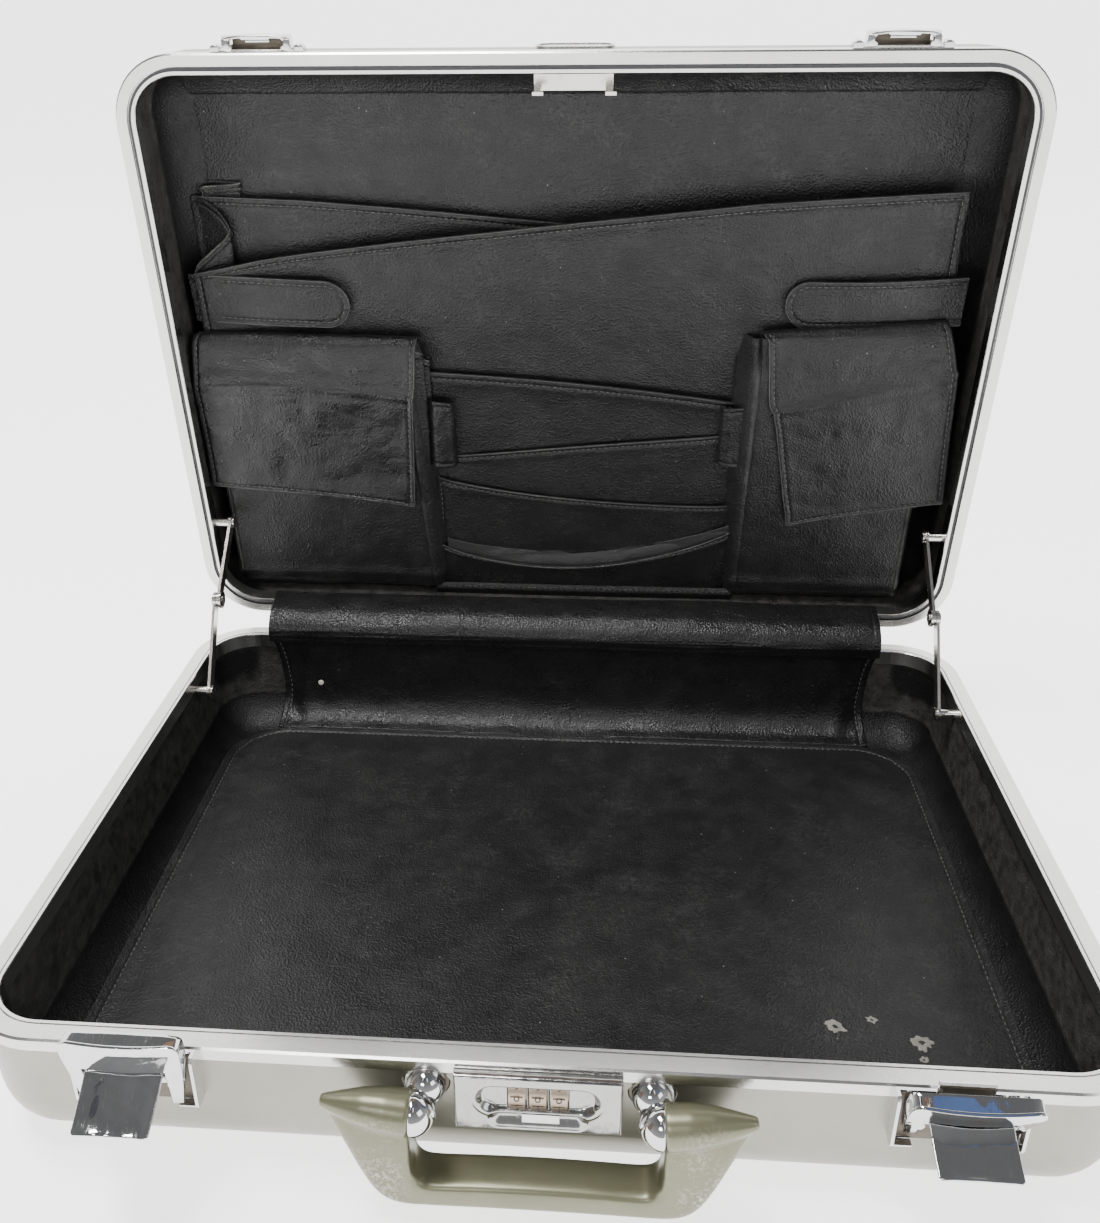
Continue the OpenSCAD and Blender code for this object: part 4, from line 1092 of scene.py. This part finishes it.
for sx, tag in ((-1, "left"), (1, "right")):
    on_cover, on_lever = latch_frame(sx)
    # front plate: a grid that bulges forward, with a window for the lever at its foot
    verts, faces = [], []
    rows = [(20.4, 19.0), (19.9, 21.2), (18.6, 22.4), (16.5, 22.8), (12.5, 22.7), (8.5, 22.4), (6.6, 22.2),
        (6.0, 22.1), (2, 21.7), (-3, 21.1), (-8, 20.4), (-12.2, 19.7)]
    xs = [-1.0, -0.96, -0.88, -0.72, -0.5, -0.25, 0, 0.25, 0.5, 0.72, 0.88, 0.96, 1.0]

    def face_u(x, z, half):
        return 4.1 - 1.7 * (x / 23.0) ** 2 - 0.9 * smooth((z
            - 16) / 5) ** 2 - 0.35 * np.sin(np.clip((10 - z) / 20, 0, 1) * math.pi)

    index = {}
    for layer, back in ((0, 0.0), (1, 1.3)):
        for i, (z, half) in enumerate(rows):
            for j, f in enumerate(xs):
                x = f * half
                if i >= 6:
                    edge = 15.9
                    order = {0: half, 1: half - 0.6, 2: half - 1.8, 3: (half + edge) / 2, 4: edge}
                    if j in order:
                        x = -order[j]
                    elif 12 - j in order:
                        x = order[12 - j]
                    else:
                        x = 15.9 * (j - 6) / 2.0 * 0.5
                index[layer, i, j] = len(verts)
                verts.append((x, face_u(x, z, half) - back, z))

    def solid(i, j):
        return 0 <= i < len(rows) - 1 and 0 <= j < 12 and (i < 6 or j < 4 or j >= 8)

    for i in range(len(rows) - 1):
        for j in range(12):
            if not solid(i, j):
                continue
            q = [(i, j), (i, j + 1), (i + 1, j + 1), (i + 1, j)]
            faces.append([index[(0, *k)] for k in q])
            faces.append([index[(1, *k)] for k in q[::-1]])
            for k, (di, dj) in enumerate(((-1, 0), (0, 1), (1, 0), (0, -1))):
                if not solid(i + di, j + dj):
                    a, b = q[k], q[(k + 1) % 4]
                    faces.append([index[(0, *b)], index[(0, *a)], index[(1, *a)], index[(1, *b)]])
    plate = make("cover_plate_" + tag, on_cover(verts), faces, BRIGHT, "latch_cover_" + tag,
        "latch_cover_" + tag)
    bevelled(plate, 0.35, 3, 40)
    # side and top walls run back from the plate
    wall_line = [(-19.9, -10.5), (-20.9, -4), (-21.7, 3), (-22.3, 10), (-22.5, 15.5), (-21.9, 18.4),
        (-19.3, 19.7), (-12, 20.1), (0, 20.2)]
    wall_line = wall_line + [(-x, z) for x, z in wall_line[-2::-1]]
    w = curve(wall_line, np.linspace(0, 1, 80))
    depth = np.interp(w[:, 1], [-12, -5, 0, 6, 18, 20.2], [1.4, -0.6, -2.0, -3.4, -4.0, -3.6])
    outer = [[(x, face_u(x, z, 22) - 0.2, z), (x * 1.004, face_u(x, z, 22) - 1.4, z), (x, d + 1.0, z),
        (x * 0.995, d, z * 0.997)] for (x, z), d in zip(w, depth)]
    wall_points = on_cover(np.array(outer))
    wall_ob = skin("cover_wall_" + tag, wall_points, 1.2, BRIGHT, "latch_cover_" + tag)
    bevelled(wall_ob, 0.25, 2, 50)
    # lever: rolled top, slightly dished plate and a turned-back foot
    n, m = 41, 33
    u, v = grid(np.linspace(-1, 1, n), np.linspace(0, 1, m))
    half = 15.3 - 0.9 * v - 1.0 * smooth((v - 0.93) / 0.07)
    path = curve([(0.7, 2.1), (2.0, 1.85), (3.3, 1.7), (4.5, 0.9), (4.95, -1.6), (4.8, -6), (4.7, -11),
        (4.7, -16.5), (4.95, -20.9), (4.8, -22.5)], v)
    dish = -0.9 * (1 - u ** 2) ** 0.8 * smooth((v - 0.28) / 0.15) * smooth((1.02 - v) / 0.2) + 0.3 * (1
        - u ** 2) * smooth((0.4 - v) / 0.2)
    dish = dish + 0.15 * noise(u * 15, v * 22, 5.5, 31 + sx) * smooth((v - 0.3) / 0.1)
    p = np.stack([u * half, path[..., 0] + dish - 0.3 * u ** 8, path[..., 1]], -1)
    lever_ob = skin("lever_plate_" + tag, on_lever(p), 1.1, BRIGHT, "latch_lever_" + tag,
        "latch_lever_" + tag)
    bevelled(lever_ob, 0.35, 3, 40)
    # worn brown floor of the tray and the tongue in front of it
    side_x = sx * LATCH_X
    for name, x0, x1, z0, z1, off, mat in (("tray_floor_", -22.6, 22.6, -25.4, -2.2, 0.12, GRIME),
        ("tongue_face_", -9.4, 9.4, -5.4, 4.4, 2.32, GRIME)):
        u, v = grid(np.linspace(0, 1, 20), np.linspace(0, 1, 16))
        x, z = side_x + x0 + (x1 - x0) * u, z0 + (z1 - z0) * v
        skin(name + tag, base_at(np.stack([x, FRONT - 1.2 - off + 0 * x, z], -1)), 0.2, mat, "base")
    a = np.arange(28) * 2 * math.pi / 28
    ring = [np.stack([x + 0 * a, 2.3 * np.cos(a), 2.3 * np.sin(a)], -1) for x in (-15.2, 15.2)]
    loft("lever_barrel_" + tag, on_lever(np.array(ring)), CHROME, "latch_lever_" + tag)

# ---- Lock plate: a pressed face with a groove for the wheels and a scoop for the slide ----

dial_box = [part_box("dial_%d" % k) for k in (1, 2, 3)]
PLATE = [1000 * v for v in (*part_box("lock_plate")[0], *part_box("lock_plate")[1])]


def stadium(x, z, half, low, high):
    """Distance outside a slot with round ends."""
    r = (high - low) / 2
    return np.hypot(np.maximum(np.abs(x) - (half - r), 0), z - (low + high) / 2) - r


def lock_face():
    """The pressed face as one height field, with a window for each wheel and for the slide."""
    x0, x1 = PLATE[0], PLATE[3]
    z0, z1 = PLATE[2] - RIM, PLATE[5] - RIM
    u, v = grid(np.linspace(0, 1, 330), np.linspace(0, 1, 150))
    x, z = x0 + (x1 - x0) * u, z0 + (z1 - z0) * v
    edge = np.minimum(np.minimum(x - x0, x1 - x), np.minimum(z - z0, z1 - z))
    face = 4.0 - 1.0 * smooth((1.1 - edge) / 1.1) ** 1.5 - rounded(edge, 0.5)
    groove = stadium(x, z, 22.5, -20.6, -8.0)
    bowl = stadium(x, z, 18.5, -28.4, -20.0)
    face = face - 2.7 * smooth((0.9 - groove) / 2.4) + 0.25 * bell(groove - 1.5, 0.8)
    face = face - 2.3 * smooth((0.4 - bowl) / 5.0) * smooth((-20.2 - z) / 1.2) - 0.3 * smooth((0.8
        - bowl) / 1.2)
    for lo, hi in dial_box:
        c = 500 * (lo + hi)
        half = 500 * (hi.x - lo.x) + 0.55
        slot = np.maximum(np.abs(x - c[0]) - half, np.abs(z - (c[2] - RIM)) - 5.6)
        face = np.where(slot < 0, 0.3, face)
    knob = np.maximum(np.abs(x + 2) - 6.2, np.abs(z + 23.9) - 1.5)
    face = np.where(knob < 0, np.minimum(face, 1.4), face)
    face = np.where(edge < 1e-6, -2.2, face)
    pts = base_at(xyz(x, FRONT - face, z))
    return skin("lock_plate_face", pts, 0.4, PLATED, "base", "lock_plate")


lock_face()

# ---- Keepers: arched staples with a worn opening, on feet ----


def prism(name, outline, z0, z1, x, material, body, bevel=0.25):
    """A solid with an outline in x and distance off the lid, between two heights of the shut lid."""
    n = len(outline)
    verts = [(x + px, FRONT - u, z) for z in (z0, z1) for px, u in outline]
    faces = [list(range(n))[::-1], list(range(n, 2 * n))] + [[i, (i + 1) % n, n + (i + 1) % n,
        n + i] for i in range(n)]
    ob = make(name, lid_at(verts), faces, material, body)
    return bevelled(ob, bevel, 2, 30)


for sx, tag in ((-1, "left"), (1, "right")):
    x = sx * LATCH_X
    cap = [(-16.6, 4.2), (-16.4, 6.0), (-13.2, 6.9), (-6, 7.5), (6, 7.5), (13.2, 6.9), (16.4, 6.0),
        (16.6, 4.2), (13.4, 4.6), (12.4, 5.8), (7.6, 6.2), (6.6, 5.4),
           (-6.6, 5.4), (-7.6, 6.2), (-12.4, 5.8), (-13.4, 4.6)]
    prism("keeper_cap_" + tag, cap, 3.0, 9.6, x, CHROME, "lid")
    for side in (-1, 1):
        leg = [(side * q[0], q[1]) for q in ((16.8, 5.8), (16.9, 2.2), (19.0, 1.3), (19.0, 0.3),
            (12.2, 0.3), (12.0, 2.4), (13.6, 3.2), (13.4, 5.6))]
        prism("keeper_leg_%s_%d" % (tag, side), leg[::side], 2.9, 9.4, x, CHROME, "lid")
        ring = [(side * 20.6 + 2.6 * math.cos(a),
            1.7 + 1.7 * math.sin(a)) for a in np.arange(14) * 2 * math.pi / 14]
        prism("keeper_foot_%s_%d" % (tag, side), ring, 3.2, 8.8, x, CHROME, "lid", 0.4)
    prism("keeper_bar_" + tag, [(-6.0, 3.7), (6.0, 3.7), (6.0, 4.9), (-6.0, 4.9)], 6.6, 8.2, x, CHROME, "lid")
    prism("keeper_back_" + tag, [(-13.0, 0.9), (13.0, 0.9), (13.0, 5.6), (-13.0, 5.6)], 8.9, 9.3, x, GRIME,
        "lid", 0.1)
    prism("keeper_strip_" + tag, [(-12.4, 0.1), (12.4, 0.1), (12.4, 1.1), (-12.4, 1.1)], 2.6, 8.6, x, STEEL,
        "lid")

# ---- Lock wheels: a number in a ring on each facet ----


def numerals():
    """A digit on each of the ten facets of each wheel."""
    for k, name in enumerate(("dial_1", "dial_2", "dial_3")):
        lo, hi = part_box(name)
        c = (lo + hi) / 2
        r = (hi.z - lo.z) / 2
        for d in range(10):
            font = bpy.data.curves.new("numeral", "FONT")
            font.body = str(d)
            font.size = 0.0034
            font.align_x = "CENTER"
            font.align_y = "CENTER"
            font.extrude = 0.00006
            tmp = bpy.data.objects.new("numeral", font)
            mesh = bpy.data.meshes.new_from_object(tmp)
            bpy.data.objects.remove(tmp)
            mesh.materials.append(BLACK)
            ob = bpy.data.objects.new("numeral_%d_%d" % (k + 1, d), mesh)
            scene.collection.objects.link(ob)
            angle = math.radians(36 * d)
            # facing outwards at the wheel's rim, with 0 a quarter of a facet off the window's middle
            turn = Matrix.Rotation(angle - math.radians(9), 4, "X")
            place = Matrix.Translation(c) @ turn @ Matrix.Translation((0, -r - 0.00004,
                0)) @ Matrix.Rotation(math.pi / 2, 4, "X") @ Matrix.Scale(1.45, 4, (1, 0, 0))
            mesh.transform(place)
            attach(ob, name)


numerals()

# ---- Setting: pale floor, soft light, camera ----

floor_mesh = bpy.data.meshes.new("ground")
sweep = [(-7, 0), (2.2, 0)] + [(2.2 + 1.6 * math.sin(a), 1.6 - 1.6 * math.cos(a)) for a in np.linspace(0.1,
    math.pi / 2, 14)] + [(3.8, 6)]
floor_mesh.from_pydata([(x, y, z) for y, z in sweep for x in (-9, 9)], [],
    [[2 * k, 2 * k + 1, 2 * k + 3, 2 * k + 2] for k in range(len(sweep) - 1)])
floor_mesh.polygons.foreach_set("use_smooth", [True] * len(floor_mesh.polygons))
ground = bpy.data.objects.new("ground", floor_mesh)
g = Shader("ground")
g.set(base=(0.92, 0.92, 0.92), rough=0.9, spec=0.05)
g.p.inputs["Emission Color"].default_value = (1, 1, 1, 1)
g.p.inputs["Emission Strength"].default_value = 2.2
floor_mesh.materials.append(g.m)
scene.collection.objects.link(ground)

world = bpy.data.worlds.new("world")
scene.world = world
world.use_nodes = True
wt = world.node_tree
bg = wt.nodes["Background"]
coord = wt.nodes.new("ShaderNodeTexCoord")
sep = wt.nodes.new("ShaderNodeSeparateXYZ")
mr = wt.nodes.new("ShaderNodeMapRange")
mr.inputs["From Min"].default_value = -0.15
mr.inputs["From Max"].default_value = 0.9
mr.inputs["To Min"].default_value = 0.7
mr.inputs["To Max"].default_value = 0.2
wt.links.new(coord.outputs["Generated"], sep.inputs[0])
wt.links.new(sep.outputs[2], mr.inputs["Value"])
wt.links.new(mr.outputs["Result"], bg.inputs["Strength"])
bg.inputs["Color"].default_value = (0.97, 0.98, 1.0, 1)


def lamp(name, place, at, size, power):
    """A white softbox aimed at a point."""
    data = bpy.data.lights.new(name, "AREA")
    data.shape = "RECTANGLE"
    data.size, data.size_y = size
    data.energy = power
    ob = bpy.data.objects.new(name, data)
    ob.location = place
    ob.rotation_euler = (Vector(at) - Vector(place)).to_track_quat("-Z", "Y").to_euler()
    scene.collection.objects.link(ob)


lamp("key", (-0.45, -0.15, 1.9), (0, 0.1, 0.1), (0.8, 0.4), 38)
lamp("fill", (1.5, -1.0, 1.2), (0, 0.1, 0.15), (1.0, 0.8), 7)
lamp("front", (-0.35, -1.3, 1.0), (0, 0.1, 0.15), (0.4, 0.3), 6)


def card(name, place, at, size, colour, glow=0.0):
    """A plain board outside the picture that polished metal reflects."""
    mesh = bpy.data.meshes.new(name)
    w, h = size[0] / 2, size[1] / 2
    mesh.from_pydata([(-w, -h, 0), (w, -h, 0), (w, h, 0), (-w, h, 0)], [], [[0, 1, 2, 3]])
    c = Shader(name)
    c.set(base=colour, rough=0.9, spec=0.1)
    c.p.inputs["Emission Color"].default_value = (1, 1, 1, 1)
    c.p.inputs["Emission Strength"].default_value = glow
    mesh.materials.append(c.m)
    ob = bpy.data.objects.new(name, mesh)
    ob.matrix_world = Matrix.Translation(place) @ (Vector(at) - Vector(place)).to_track_quat("Z",
        "Y").to_matrix().to_4x4()
    scene.collection.objects.link(ob)


card("board_camera", (-0.22, -0.62, 1.25), (-0.1, -0.15, 0.1), (0.34, 0.5), (0.03, 0.03, 0.035))
card("board_hand", (0.27, -0.70, 1.2), (0.15, -0.15, 0.1), (0.22, 0.55), (0.10, 0.06, 0.045))
card("board_blue", (0.52, -0.55, 1.3), (0.15, -0.15, 0.1), (0.18, 0.4), (0.05, 0.08, 0.17))
card("strip_left", (-0.25, -0.58, 1.22), (-0.15, -0.2, 0.1), (0.035, 0.4), (0.8, 0.8, 0.8), 2.5)
card("strip_right", (0.24, -0.66, 1.17), (0.15, -0.2, 0.1), (0.03, 0.4), (0.8, 0.8, 0.8), 2.5)
card("board_left", (-1.3, -0.5, 0.5), (0, -0.1, 0.1), (0.5, 1.0), (0.10, 0.075, 0.06))
card("board_above", (-0.1, 0.52, 1.75), (0, -0.1, 0.1), (0.9, 0.22), (0.15, 0.09, 0.06))
card("board_right", (1.3, 0.2, 0.9), (0, -0.1, 0.1), (0.35, 0.9), (0.06, 0.07, 0.10))

cam = bpy.data.cameras.new("camera")
camera = bpy.data.objects.new("camera", cam)
scene.collection.objects.link(camera)
scene.camera = camera
yaw, pitch, roll = math.radians(-4.2296), math.radians(-25.4018), math.radians(-0.4731)
look = Vector((math.sin(yaw) * math.cos(pitch), math.cos(yaw) * math.cos(pitch), math.sin(pitch)))
right = Vector((math.cos(yaw), -math.sin(yaw), 0))
up = right.cross(look)
right, up = math.cos(roll) * right + math.sin(roll) * up, -math.sin(roll) * right + math.cos(roll) * up
turn = Matrix((right, up, -look)).transposed().to_4x4()
camera.matrix_world = Matrix.Translation((0.0196, -0.46935, 0.414)) @ turn
cam.sensor_fit = "HORIZONTAL"
cam.sensor_width = 36
cam.lens = 37.77
cam.shift_x = 0.0216
cam.shift_y = -0.0402
cam.clip_start = 0.01
